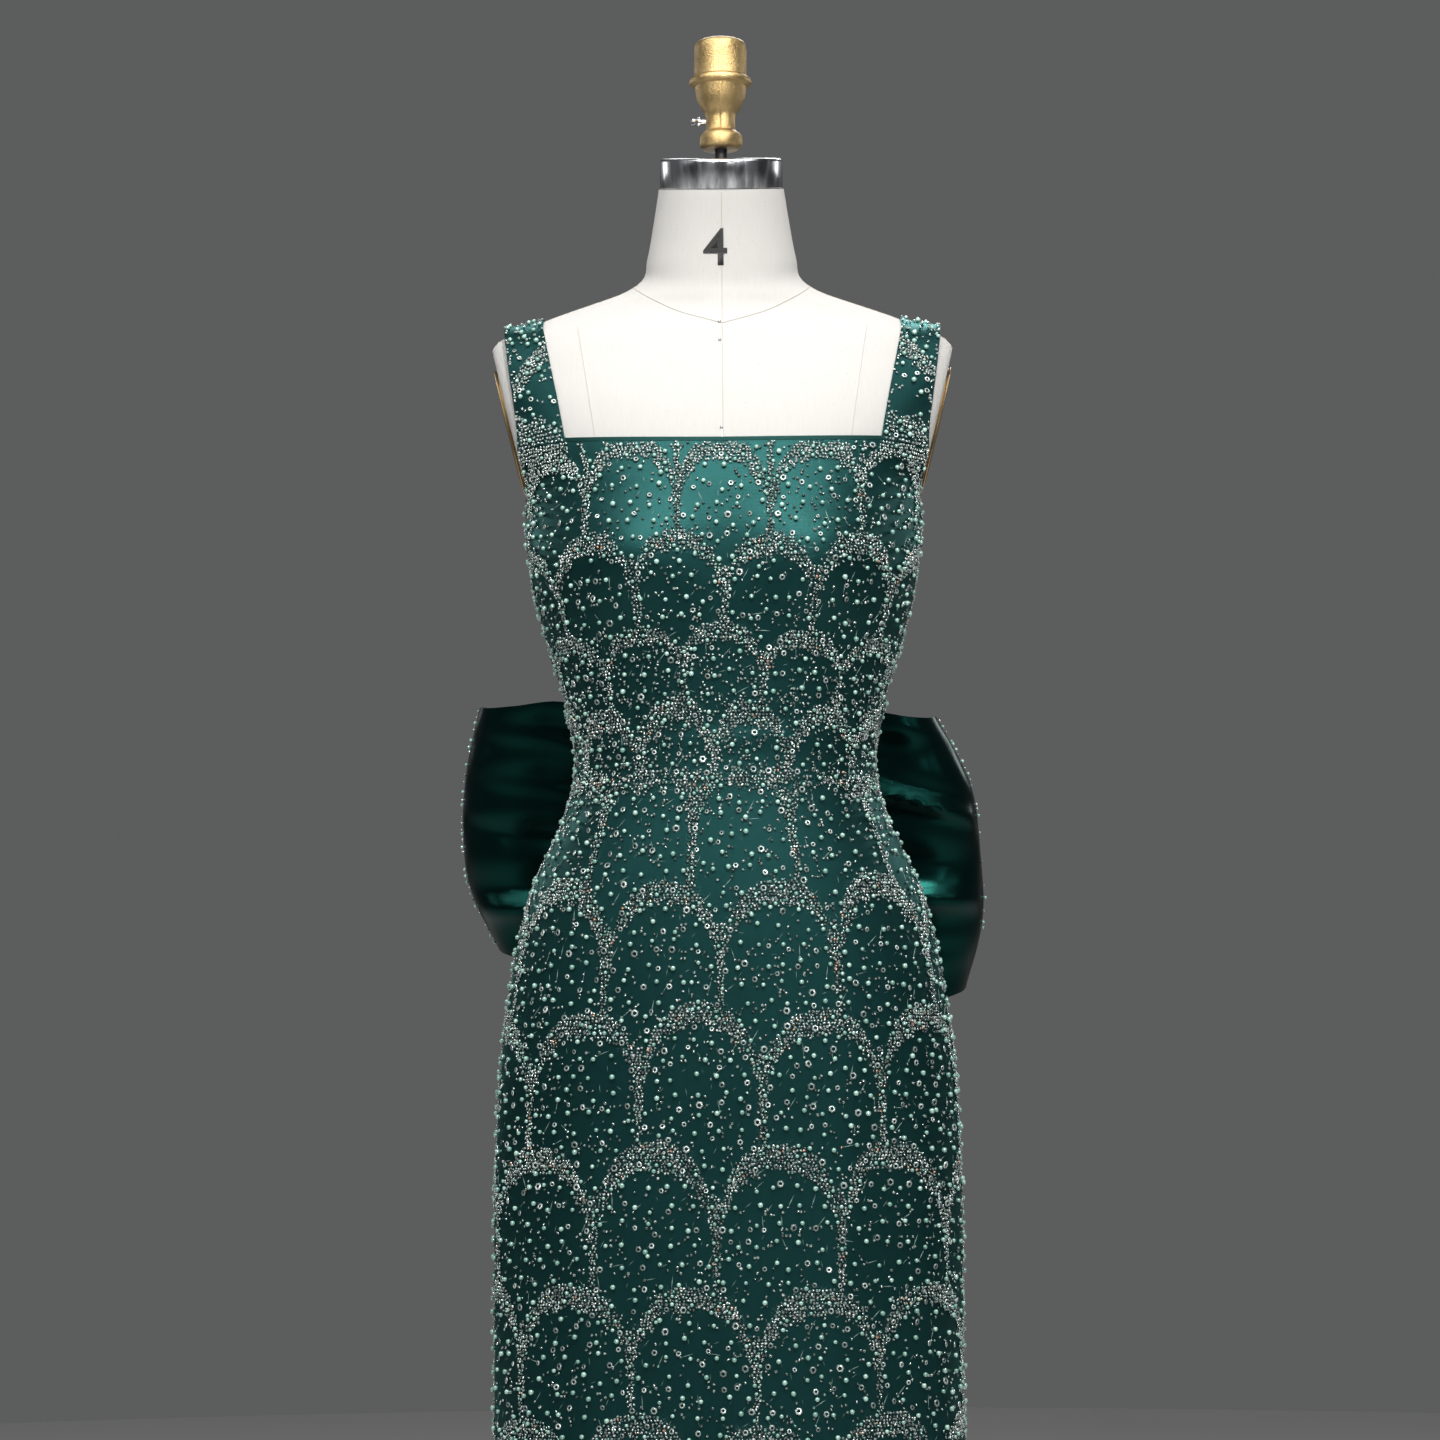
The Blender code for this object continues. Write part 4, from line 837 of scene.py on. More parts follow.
steel = make_metal("polished_steel", (0.50, 0.51, 0.53), (0.66, 0.67, 0.69), (0.13, 0.27), 0.03, 0.00001)
brushed_steel_painted_streaks = make_brushed_painted_streaks("brushed_steel_painted_streaks", (0.20, 0.205, 0.215), (0.60, 0.61, 0.63), (0.18, 0.27))
chrome = make_metal("chrome", (0.66, 0.66, 0.68), (0.80, 0.80, 0.82), (0.05, 0.14), 0.02, 0.000005)
brass = make_metal("cast_brass", (0.190, 0.122, 0.045), (0.62, 0.455, 0.215), (0.27, 0.44), 0.018, 0.00055)
plate_brass = make_metal("plate_brass", (0.13, 0.085, 0.04), (0.30, 0.21, 0.1), (0.24, 0.42), 0.02, 0.00005)
rim_brass = make_metal("rim_brass", (0.24, 0.16, 0.07), (0.48, 0.34, 0.16), (0.24, 0.42), 0.01, 0.00003)
zip_metal = make_metal("zip_metal", (0.42, 0.34, 0.19), (0.62, 0.50, 0.28), (0.20, 0.38), 0.004, 0.00003)
iron = make_metal("black_iron", (0.020, 0.020, 0.022), (0.042, 0.041, 0.043), (0.38, 0.60), 0.02, 0.0001)
seed_glass = make_beads("seed_glass", SEED_TONES, 0.55, (0.26, 0.12), 0.8, bored=True)
pearl = make_beads("mint_pearl", PEARL_TONES, 0.10, (0.30, 0.18), 0.9)
ring_metal = make_beads("ring_sequin", RING_TONES, 0.60, (0.36, 0.22), 0.2)
print("metals and beads", [m.name for m in (steel, chrome, brass, iron, seed_glass, pearl, ring_metal)])

# %% [markdown]
# ## The dress form's body
#
# The form is a padded shell covered in linen. Its cover is cut in panels, so there is a
# seam down the middle of the front and back, a shaped seam on each side of the chest and
# one round the foot of the neck. The body could be sculpted; reading it off the figure's
# net keeps it exactly under the gown.
#
# The seams are thin welts laid on the net, as a sewn seam stands a little proud of cloth
# that is stretched over padding.

# %% The padded body, its seams, numeral and pins
SIDES = {"left": -1, "right": 1}
BODY_COLUMNS = 116
SEAM_STEPS = 60
SEAM_RADIUS = 0.00032
WELT_RADIUS = 0.0005
FRONT_SEAM_Z = 1.296
BACK_SEAM_Z = 1.268
CHEST_SEAM_X = (0.094, 0.110)
CHEST_SEAM_Z = (1.294, 1.398)
SHOULDER_SEAM_Z = (1.435, 1.391)
NECK_SEAM_Z = (1.3955, 1.4345)
NUMERAL = "4"
NUMERAL_HEIGHT = 0.0270
NUMERAL_STROKE = 0.0004
NUMERAL_X = -0.0046
NUMERAL_Z = 1.4520
NUMERAL_OUT = 0.0003
PIN_HEAD = 0.0013
PIN_SHAFT = 0.0075
PIN_RADIUS = 0.0003
PINS = ((-0.0022, 1.3965, 0.1), (-0.0020, 1.3780, -0.15), (-0.0012, 1.3060, 0.1))


def make_form_body():
    """The padded body in one closed mesh, with its rows closest where it curves most."""
    trunk = np.arange(FORM_BOTTOM_Z, ARMHOLE_LOW[0], 0.0180)
    chest = np.linspace(ARMHOLE_LOW[0], ARMHOLE_HIGH[0], 20)
    levels = np.concatenate([trunk, chest, np.arange(1.388, NECK_TOP_Z, 0.003), [NECK_TOP_Z]])[:, None]
    around = np.linspace(-2.0, 2.0, BODY_COLUMNS, endpoint=False)[None, :]
    uv = together(around * quarter_length(around, levels), levels)
    return lofted("dressform_body", read_net(around, levels)[0], linen, 50.0, {"cloth": uv})


def make_seam(word, around, z, radius=SEAM_RADIUS):
    """A welt laid on the form's body."""
    points, normals = read_net(around, z)
    return tube("dressform_seam_" + word, points, radius, seam_thread, 6, normals)


def make_form_seams():
    """The cover's seams where they show: on the chest, the back, the neck and the shoulders."""
    made = []
    for word, around, low in (("front", 0.0, FRONT_SEAM_Z), ("back", 2.0, BACK_SEAM_Z)):
        made.append(make_seam(word, around, np.linspace(low, NECK_TOP_Z - 0.002, SEAM_STEPS)))
    chest_z = np.linspace(*CHEST_SEAM_Z, SEAM_STEPS)
    places = np.array([around_at(x, z) for x, z in zip(np.linspace(*CHEST_SEAM_X, SEAM_STEPS), chest_z)])
    for word, side in SIDES.items():
        made.append(make_seam("chest_" + word, side * places, chest_z))
        made.append(make_seam("shoulder_" + word, side * 0.995, np.linspace(*SHOULDER_SEAM_Z, SEAM_STEPS)))
    turn = np.linspace(-2.0, 2.0, 161)
    rise = 1.0 - (1.0 - np.minimum(np.abs(turn), 1.0)) ** 2
    low, high = NECK_SEAM_Z
    made.append(make_seam("neck", turn, low + (high - low) * rise, WELT_RADIUS))
    return made


def place_on_body(x, z, out):
    """A place round the body from its distance from the centre line, its point and the way out."""
    around = math.copysign(around_at(abs(x), z), x)
    point, way = read_net(around, z)
    return around, point + way * out, Vector(way)


def make_numeral():
    """The plain size numeral on the neck: a flat figure, cut into strips and laid on the cloth."""
    curve = bpy.data.curves.new("numeral_outline", "FONT")
    curve.body = NUMERAL
    curve.size = NUMERAL_HEIGHT * 1.40
    curve.align_x = "CENTER"
    curve.offset = NUMERAL_STROKE
    source = bpy.data.objects.new("numeral_outline", curve)
    mesh = bpy.data.meshes.new_from_object(source)
    bpy.data.objects.remove(source)
    bm = bmesh.new()
    bm.from_mesh(mesh)
    low = min(v.co.y for v in bm.verts)
    tall = max(v.co.y for v in bm.verts) - low
    for x in np.arange(-0.012, 0.0121, 0.0012):
        every = bm.verts[:] + bm.edges[:] + bm.faces[:]
        bmesh.ops.bisect_plane(bm, geom=every, plane_co=(x, 0, 0), plane_no=(1, 0, 0))
    for vert in bm.verts:
        z = NUMERAL_Z + (vert.co.y - low) / tall * NUMERAL_HEIGHT
        _, vert.co, vert.normal = place_on_body(NUMERAL_X + vert.co.x, z, NUMERAL_OUT)
    bmesh.ops.recalc_face_normals(bm, faces=bm.faces)
    bmesh.ops.solidify(bm, geom=bm.faces[:], thickness=NUMERAL_OUT * 1.6)
    bmesh.ops.recalc_face_normals(bm, faces=bm.faces)
    bm.to_mesh(mesh)
    bm.free()
    mesh.materials.clear()
    mesh.materials.append(numeral_ink)
    return link_object("dressform_numeral", mesh)


def make_pins():
    """Dressmaker's pins in the cover: a round head and a shaft that lies on the cloth."""
    made = []
    arc = np.linspace(0.15, math.pi - 0.15, 9)
    profile = [(PIN_HEAD * math.sin(t), -PIN_HEAD * math.cos(t)) for t in arc]
    down = np.linspace(0.0, PIN_SHAFT, 8)
    for k, (x, z, slant) in enumerate(PINS, 1):
        around, point, way = place_on_body(x, z, PIN_HEAD * 0.6)
        turn = way.to_track_quat("Z", "Y").to_euler()
        made.append(turned(f"pin_head_{k}", profile, 12, steel, point, turn))
        path, ways = read_net(around + slant * down * 4.0, z - down)
        made.append(tube(f"pin_shaft_{k}", path + ways * (PIN_RADIUS * 0.8), PIN_RADIUS, steel, 6, ways))
    return made


form_body = make_form_body()
form_seams = make_form_seams()
numeral = make_numeral()
pins = make_pins()
print("body", len(form_body.data.polygons), "faces;", len(form_seams), "seams;", len(pins), "pin pieces")

# %% [markdown]
# ## The neck cap, the finial and its screw
#
# The cap is spun from steel sheet and polished, with a rolled top edge. The finial is cast
# in brass in a two-part mould, so a low ridge runs up it where the halves met, and its skin
# is never quite even. Both are round, so each is a profile turned on a lathe. The finial's
# ridge and its unevenness are worked into the radius, as they are real shape.

# %% Cap, rod, finial and wing screw
CAP_RADIUS = 0.0472
CAP_HEIGHT = 0.0230
CAP_EDGE = 0.0030
CAP_DISH = 0.0008
ROD_RADIUS = 0.0050
FINIAL_BOTTOM_Z = 1.5385
# The finial's profile, as radius and height above its foot, and its rounded corners.
FINIAL = (
    (0.0130, 0.0000), (0.0160, 0.0022), (0.0166, 0.0060), (0.0160, 0.0110), (0.0118, 0.0140),
    (0.0112, 0.0170), (0.0112, 0.0265), (0.0150, 0.0320), (0.0188, 0.0400), (0.0200, 0.0490),
    (0.0232, 0.0500), (0.0240, 0.0525), (0.0232, 0.0552), (0.0202, 0.0566), (0.0202, 0.0790),
    (0.0190, 0.0835), (0.0150, 0.0855), (0.0060, 0.0860),
)
FINIAL_ROUNDS = {1: 0.001, 3: 0.003, 4: 0.002, 6: 0.003, 9: 0.001, 10: 0.001, 12: 0.001, 13: 0.001,
                 14: 0.003, 15: 0.003, 16: 0.002}
CAST_RIDGE = 0.00045
CAST_UNEVEN = 0.00018
SCREW_HEIGHT = 0.0215
FINIAL_NECK_RADIUS = 0.0112
SCREW = ((0.0019, 0.0003), (0.0019, 0.0040), (0.0034, 0.0044), (0.0036, 0.0052), (0.0034, 0.0064),
         (0.0020, 0.0068))
WING_OUTLINE = ((0.0010, 0.0055), (0.0040, 0.0062), (0.0062, 0.0082), (0.0066, 0.0104), (0.0052, 0.0118),
                (0.0034, 0.0108), (0.0016, 0.0090), (0.0000, 0.0084))
WING_THICK = 0.0022
WING_EDGE = 0.0007


def make_cap():
    """The polished cap on the neck, leaning with it."""
    top = section_at(NECK_TOP_Z)
    lean = math.radians(top.lean)
    up = np.array([0.0, -math.sin(lean), math.cos(lean)])
    place = np.array([0.0, top.centre, NECK_TOP_Z]) + up * SEAM
    profile = [(CAP_RADIUS - 0.0008, 0.0), (CAP_RADIUS, 0.0008), (CAP_RADIUS, CAP_HEIGHT - CAP_EDGE)]
    for bend in np.linspace(0, math.pi / 2, 8)[1:]:
        inset, drop = CAP_EDGE * (1 - math.cos(bend)), CAP_EDGE * (1 - math.sin(bend))
        profile.append((CAP_RADIUS - inset, CAP_HEIGHT - drop))
    profile += [(CAP_RADIUS - 0.0065, CAP_HEIGHT - 0.0003), (CAP_RADIUS - 0.0080, CAP_HEIGHT - CAP_DISH)]
    made = turned("dressform_neck_cap", profile, 96, brushed_steel_painted_streaks, place, (lean, 0.0, 0.0), 50.0)
    return made, place + up * (CAP_HEIGHT - CAP_DISH)


def make_rod(foot):
    """The dark rod between the cap and the finial."""
    profile = [(ROD_RADIUS, -0.0006), (ROD_RADIUS, FINIAL_BOTTOM_Z - SEAM - foot[2])]
    return turned("dressform_rod", profile, 32, iron, (0.0, 0.0, foot[2]))


def make_finial():
    """The cast finial, with its mould's ridge at the front and back."""
    turns = np.linspace(0, 2 * math.pi, 96, endpoint=False)
    rings = []
    for radius, height in rounded_profile(FINIAL, FINIAL_ROUNDS):
        ridge = CAST_RIDGE * np.exp(-((np.cos(turns) / 0.035) ** 2)) * min(1.0, radius / 0.010)
        uneven = CAST_UNEVEN * (np.sin(3 * turns + 190 * height) + 0.6 * np.sin(7 * turns - 410 * height))
        r = radius + ridge + uneven * min(1.0, radius / 0.012)
        rings.append(together(r * np.cos(turns), r * np.sin(turns), height + FINIAL_BOTTOM_Z))
    return lofted("dressform_finial", rings, brass, 50.0)


def make_screw():
    """The wing screw that holds the finial: a turned shank and two rounded ears."""
    lying = (0.0, -math.pi / 2, 0.0)
    place = (-FINIAL_NECK_RADIUS, 0.0, FINIAL_BOTTOM_Z + SCREW_HEIGHT)
    shank = turned("dressform_screw_shank", SCREW, 28, chrome, place, lying)
    outline = [*WING_OUTLINE, *((-y, z) for y, z in reversed(WING_OUTLINE[:-1]))]
    rings = np.array([[(x, y, z) for y, z in outline] for x in (-WING_THICK / 2, WING_THICK / 2)])
    points = rings @ np.array(Euler(lying).to_matrix()).T + np.array(place)
    ears = outward(lofted("dressform_screw_ears", points, chrome))
    bevel = ears.modifiers.new("rounded", "BEVEL")
    bevel.width, bevel.segments = WING_EDGE, 3
    return shank, ears


cap, cap_top = make_cap()
rod = make_rod(cap_top)
finial = make_finial()
screw = make_screw()
print("cap top at", [round(float(v), 4) for v in cap_top], "finial faces", len(finial.data.polygons))

# %% [markdown]
# ## The armhole plates, the pole and the base
#
# A limbless form has a plate over each armhole. The plates are pressed from brass that has
# gone brown, and their rims are rubbed bright. A dome and a thin rim ring give both.
#
# The pole and base carry the form. They are out of sight under the skirt from most sides,
# and finished plainly all the same.

# %% Armhole plates, pole and base
PLATE_Z = 1.3200
PLATE_HALF_HEIGHT = 0.0500
PLATE_HALF_DEPTH = 0.0330
PLATE_THICK = 0.0032
PLATE_RIM = 0.0009
POLE_RADIUS = 0.0140
# The base's profile, as radius and height, and its rounded corners.
BASE = ((0.1380, 0.0000), (0.1400, 0.0020), (0.1400, 0.0080), (0.1340, 0.0130), (0.0340, 0.0190),
        (0.0260, 0.0240), (0.0240, 0.0450))
BASE_ROUNDS = {1: 0.001, 2: 0.003, 3: 0.003, 4: 0.006, 5: 0.003}


def make_plate(word, side):
    """A domed oval plate and its bright rim."""
    lean = math.atan2(ARMHOLE_HIGH[1] - ARMHOLE_LOW[1], ARMHOLE_HIGH[0] - ARMHOLE_LOW[0])
    matrix = np.array(Euler((0.0, side * lean, 0.0)).to_matrix())
    place = np.array([side * (armhole_plane(PLATE_Z) + SEAM / math.cos(lean)), ARMHOLE_Y, PLATE_Z])
    turns = np.linspace(0, 2 * math.pi, 72, endpoint=False)

    def oval(size, x):
        across, up = PLATE_HALF_DEPTH * size, PLATE_HALF_HEIGHT * size
        return together(side * x, across * np.cos(turns), up * np.sin(turns)) @ matrix.T + place

    bend = np.linspace(0, math.pi / 2, 10)
    rings = [oval(1.0, 0.0)]
    for b in bend[1:]:
        rings.append(oval(1.0 - 0.35 * math.sin(b) ** 2 * (b / bend[-1]), PLATE_THICK * math.sin(b)))
    rings.append(oval(0.30, PLATE_THICK * 1.05))
    plate = outward(lofted("dressform_armplate_" + word, rings, plate_brass, 50.0))
    path = oval(1.0, PLATE_THICK * 0.45)
    closed = np.concatenate([path, path[:2]])
    outwards = np.tile([float(side), 0.0, 0.0], (len(closed), 1))
    return plate, tube(f"dressform_armplate_rim_{word}", closed, PLATE_RIM, rim_brass, 8, outwards)


def make_stand():
    """The base plate and the pole."""
    disc = turned("dressform_base", rounded_profile(BASE, BASE_ROUNDS), 120, iron, sharp_degrees=50.0)
    ends = [(POLE_RADIUS, z) for z in (BASE[-1][1] + SEAM, FORM_BOTTOM_Z - SEAM)]
    return disc, turned("dressform_pole", ends, 48, steel)


plates = {word: make_plate(word, side) for word, side in SIDES.items()}
base, pole = make_stand()
print("plates", sorted(plates), "pole from", BASE[-1][1], "to", FORM_BOTTOM_Z)

# %% [markdown]
# ## The gown's panels
#
# The bodice has a front and two backs, and so has the skirt, joined at the waist and the
# sides, with a zip between the backs. Each panel is a thin wall on the figure's net, with
# the creases in it. It carries a UV map in metres for its threads, and the attribute
# `beads`, which says how close the beadwork is at each point.
#
# The beadwork is a plain scale pattern: rows of round-topped arches, each row set half an
# arch off the one above. It is worked out from a few sizes: where each row's tops are and
# how many arches go round. A craftsperson draws it by eye, so each row is a little off.

# %% The scale pattern
Scales = namedtuple("Scales", "tops per_turn shifts")
BODICE_SCALES = Scales(
    tops=(1.3660, 1.2975, 1.2250, 1.1560, 1.1020, 1.0300, 0.9700),
    per_turn=12,
    shifts=(0.0, 0.0, 0.49, 0.02, 0.66, 0.03, 0.5),
)
SKIRT_SCALES = Scales(
    tops=(1.170, 1.073, 0.975, 0.877, 0.780, 0.680, 0.584, 0.486, 0.388, 0.290, 0.192, 0.094, -0.004),
    per_turn=10,
    shifts=(0.30, -0.17, 0.55, 0.22, 0.60, 0.29, 0.74, 0.30, 0.72, 0.26, 0.78, 0.28, 0.75),
)
ARCH_DEEP = 0.84
ARCH_ROUND = 2.55
BAND_DEPTHS = (-0.1, 0.10, 0.24, 0.40, 0.58, 1.40)
BAND_WIDTHS = (0.0280, 0.0255, 0.0145, 0.0070, 0.0038, 0.0024)
BAND_SOFT = 0.42
BAND_UNEVEN = 0.16
VALLEY_FROM = 0.34
VALLEY_WIDTH = 0.0028
VALLEY_COVER = 0.85
ARCH_DRIFT = 0.0055
WAIST_BAND = 0.0085
WAIST_COVER, WAIST_UNEVEN = 0.62, 0.25
STREWN = 0.17
STREWN_Z = 1.090
STREWN_TALL = 0.055
STRAP_JOIN = 0.0150
MEAN_QUARTER = 0.24
NOISE_WAVES = 5


def soft_noise(around, z, size, seed):
    """A smooth wandering number between about -1 and 1, with the given size in metres."""
    u, v = np.asarray(around) * MEAN_QUARTER / size, np.asarray(z) / size
    total = np.zeros(np.broadcast(u, v).shape)
    for k in range(NOISE_WAVES):
        turn = seed * 1.7 + k * 2.399
        total += np.sin(2.1 * (u * math.cos(turn) + v * math.sin(turn)) * (1 + 0.27 * k) + seed + 1.3 * k)
    return total / 3.0


def arch_place(scales, around, z):
    """Which arch a place lies in: how far inside its edge it is, how deep and how near its side."""
    tops, shifts = np.array(scales.tops), np.array(scales.shifts)
    v = np.interp(-z, -tops, np.arange(len(tops)))
    row = np.clip(np.floor(v).astype(int), 0, len(tops) - 2)
    half = quarter_length(around, z) * 4.0 / scales.per_turn / 2.0

    def across(k):
        u = wrapped(around) * scales.per_turn / 4.0 + shifts[k]
        return np.minimum(2.0 * np.abs(u - np.round(u)), 0.9999)

    def drop(t):
        return ARCH_DEEP * (1.0 - (1.0 - t**ARCH_ROUND) ** (1.0 / ARCH_ROUND))

    own = across(row)
    inside = (v - row) >= drop(own)
    valley = ~inside & ((1.0 - own) * half < VALLEY_WIDTH) & ((v - row) > VALLEY_FROM)
    row = np.where(inside, row, np.maximum(row - 1, 0))
    side = across(row)
    deep = v - row
    under = np.maximum((deep - drop(side)) * (tops[row] - tops[row + 1]), 0.0)
    share = np.clip(deep / ARCH_DEEP, 0.0, 1.0)
    edge_at = (1.0 - (1.0 - share) ** ARCH_ROUND) ** (1.0 / ARCH_ROUND)
    beside = np.maximum((edge_at - side) * half, 0.0)
    return under * beside / np.maximum(np.hypot(under, beside), 1e-6), deep, valley


def bead_cover(around, z):
    """How close the beadwork is at a place, from 0 in the open ground to 1 in a band."""
    around, z = np.broadcast_arrays(np.asarray(around, float), np.asarray(z, float))
    drifted = z + ARCH_DRIFT * soft_noise(around, z, 0.11, 5.0)
    both = (arch_place(scales, around, drifted) for scales in (BODICE_SCALES, SKIRT_SCALES))
    inward, deep, valley = (np.where(z > WAIST_Z, upper, lower) for upper, lower in zip(*both))
    uneven = 1.0 + BAND_UNEVEN * soft_noise(around, z, 0.016, 3.0)
    width = np.interp(deep, BAND_DEPTHS, BAND_WIDTHS) * uneven
    banded = np.clip((width - inward) / (BAND_SOFT * width), 0.0, 1.0)
    closeness = WAIST_COVER + WAIST_UNEVEN * soft_noise(around, z, 0.03, 7.0)
    seam = np.exp(-(((z - WAIST_Z) / WAIST_BAND) ** 2)) * closeness
    strewn = STREWN * np.exp(-(((z - STREWN_Z) / STREWN_TALL) ** 2))
    under_strap = (np.abs(read_net(around, z)[0][..., 0]) > STRAP_BASE[0] - 0.003) & (np.abs(around) < 1.0)
    joined = np.clip((z - NECKLINE_Z + STRAP_JOIN) / 0.004, 0.0, 1.0) * under_strap
    return np.clip(np.max([banded, VALLEY_COVER * valley, seam, strewn, joined], axis=0), 0.0, 1.0)


test_cover = bead_cover(np.linspace(-1, 1, 400)[None, :], np.linspace(0.5, 1.29, 400)[:, None])
print("share of the front under close beadwork", round(float(test_cover.mean()), 3))

# %% [markdown]
# ## Cutting the panels from the net
#
# On the real gown each panel is cut flat, shaped by its seams and sewn to its neighbours.
# Here a panel is a net of places on the figure between its own edges, lifted off the body by
# the cloth's clearance. Nets of the same kind could be sculpted by hand, but then no seam
# would meet its neighbour. Each edge keeps half a seam's width free, so the panels stay
# apart as the solids do.

# %% The panels, with their threads and their bead cover
FRONT_COLUMNS = 97
BACK_COLUMNS = 49
BODICE_ROWS = 55
SKIRT_ROWS = 160
OUTER_FACE = CLOTH_CLEAR + CLOTH


def neckline(around):
    """The height of the front neckline, which dips a little between the straps."""
    inner_corner = around_at(STRAP_BASE[0], NECKLINE_Z)
    return NECKLINE_Z - NECKLINE_DIP * (1.0 - np.minimum(1.0, np.abs(around) / inner_corner) ** 2)


def shaped_edge(top, corner):
    """A bodice's top edge as far as the strap, then scooped down to the underarm."""
    def height(around):
        reach = np.abs(1.0 - np.abs(around)) / abs(1.0 - corner)
        return UNDERARM_Z + (top(around) - UNDERARM_Z) * np.minimum(reach, 1.0) ** SCOOP_POWER
    return height


def panel_places(first, last, count, low_z, high_z, rows, gaps):
    """A net of places for a panel. high_z may be a function of the place round the figure.

    gaps are the clear widths left in metres at the panel's two upright edges, and each may
    be a function of the height.
    """
    columns = np.linspace(first, last, count)
    top = high_z(columns) if callable(high_z) else np.full(count, high_z)
    z = low_z + (top - low_z)[None, :] * np.linspace(0.0, 1.0, rows)[:, None]
    around = np.broadcast_to(columns, z.shape).copy()
    for edge, way, gap in ((0, 1.0, gaps[0]), (-1, -1.0, gaps[1])):
        clear = gap(z[:, edge]) if callable(gap) else gap
        shift = clear / quarter_length(around[:, edge] * 0.999, z[:, edge])
        around[:, edge] += way * np.sign(last - first) * shift
    return around, z


def panel(name, around, z, material=gown_satin):
    """A wall of cloth on the figure's net."""
    inner, outer = (on_cloth(around, z, out)[0] for out in (CLOTH_CLEAR, OUTER_FACE))
    uv = together(around * quarter_length(around, z), z)
    return wall(name, inner, outer, material, {"cloth": uv}, attributes={"beads": bead_cover(around, z)})


def edge_clear(z):
    """How far a back panel keeps from centre back: beside the zip above its end, a seam below."""
    return np.where(z >= ZIP_END_Z, ZIP_WIDTH / 2 + SEAM, SEAM / 2)


front_edge = shaped_edge(lambda around: neckline(around) - BINDING_HEIGHT - SEAM,
                         around_at(STRAP_BASE[1], NECKLINE_Z))
back_edge = shaped_edge(lambda around: np.full_like(around, BACK_TOP_Z),
                        around_at(STRAP_BACK[1], BACK_TOP_Z, back=True))
half_seam = SEAM / 2
cuts = [("front", -1.0, 1.0, FRONT_COLUMNS, front_edge, (half_seam, half_seam))]
cuts += [("back_" + word, side, 2.0 * side, BACK_COLUMNS, back_edge, (half_seam, edge_clear))
         for word, side in SIDES.items()]
places = {}
for word, first, last, count, top, gaps in cuts:
    places["bodice_" + word] = panel_places(first, last, count, WAIST_Z + half_seam, top, BODICE_ROWS, gaps)
    places["skirt_" + word] = panel_places(first, last, count, HEM_Z, WAIST_Z - half_seam, SKIRT_ROWS, gaps)
panels = {name: panel("gown_" + name, *net) for name, net in places.items()}
reach = around_at(STRAP_BASE[0] - SEAM, NECKLINE_Z)
turn = np.linspace(-reach, reach, 91)
binding_z = neckline(turn)[None, :] - BINDING_HEIGHT * (1.0 - np.linspace(0.0, 1.0, 7)[:, None])
binding = panel("gown_neck_binding", np.broadcast_to(turn, binding_z.shape), binding_z, binding_satin)
print("panels", {name: len(obj.data.polygons) for name, obj in panels.items()})

# %% [markdown]
# ## The straps
#
# Each strap is a straight band, boned with beads until it is stiff, that runs from the
# corner of the neckline over the shoulder to the back. It lies on the form's padding at its
# inner edge and stands off the slope of the shoulder at its outer edge.
#
# It is laid as a fitter would: from in front, from above and from behind, each thread is
# dropped onto the body until it touches. Ray casts on the body's own mesh do that.

# %% Laying the straps over the shoulders
STRAP_ROWS = 91
STRAP_THREADS = 13
STRAP_BLEND = 9


def lay_on_shoulder(tree, side, low_x, top_x, low_z, turn):
    """Where a strap's thread lies on the form, and the way out from it."""
    way = Vector((0.0, -math.cos(turn), math.sin(turn)))
    rise = math.sin(turn) ** 2
    for _ in range(6):
        x = low_x + (top_x - low_x) * min(1.0, rise)
        pivot = Vector((side * x, ARMHOLE_Y, low_z))
        hit, normal, _, _ = tree.ray_cast(pivot + way * 0.3, -way)
        rise = rise - 0.15 if hit is None else (hit.z - low_z) / (STRAP_TOP_Z - low_z)
    normal.x = 0.0
    normal.normalize()
    return np.array(hit), np.array(normal if normal.dot(way) > 0.0 else -normal)


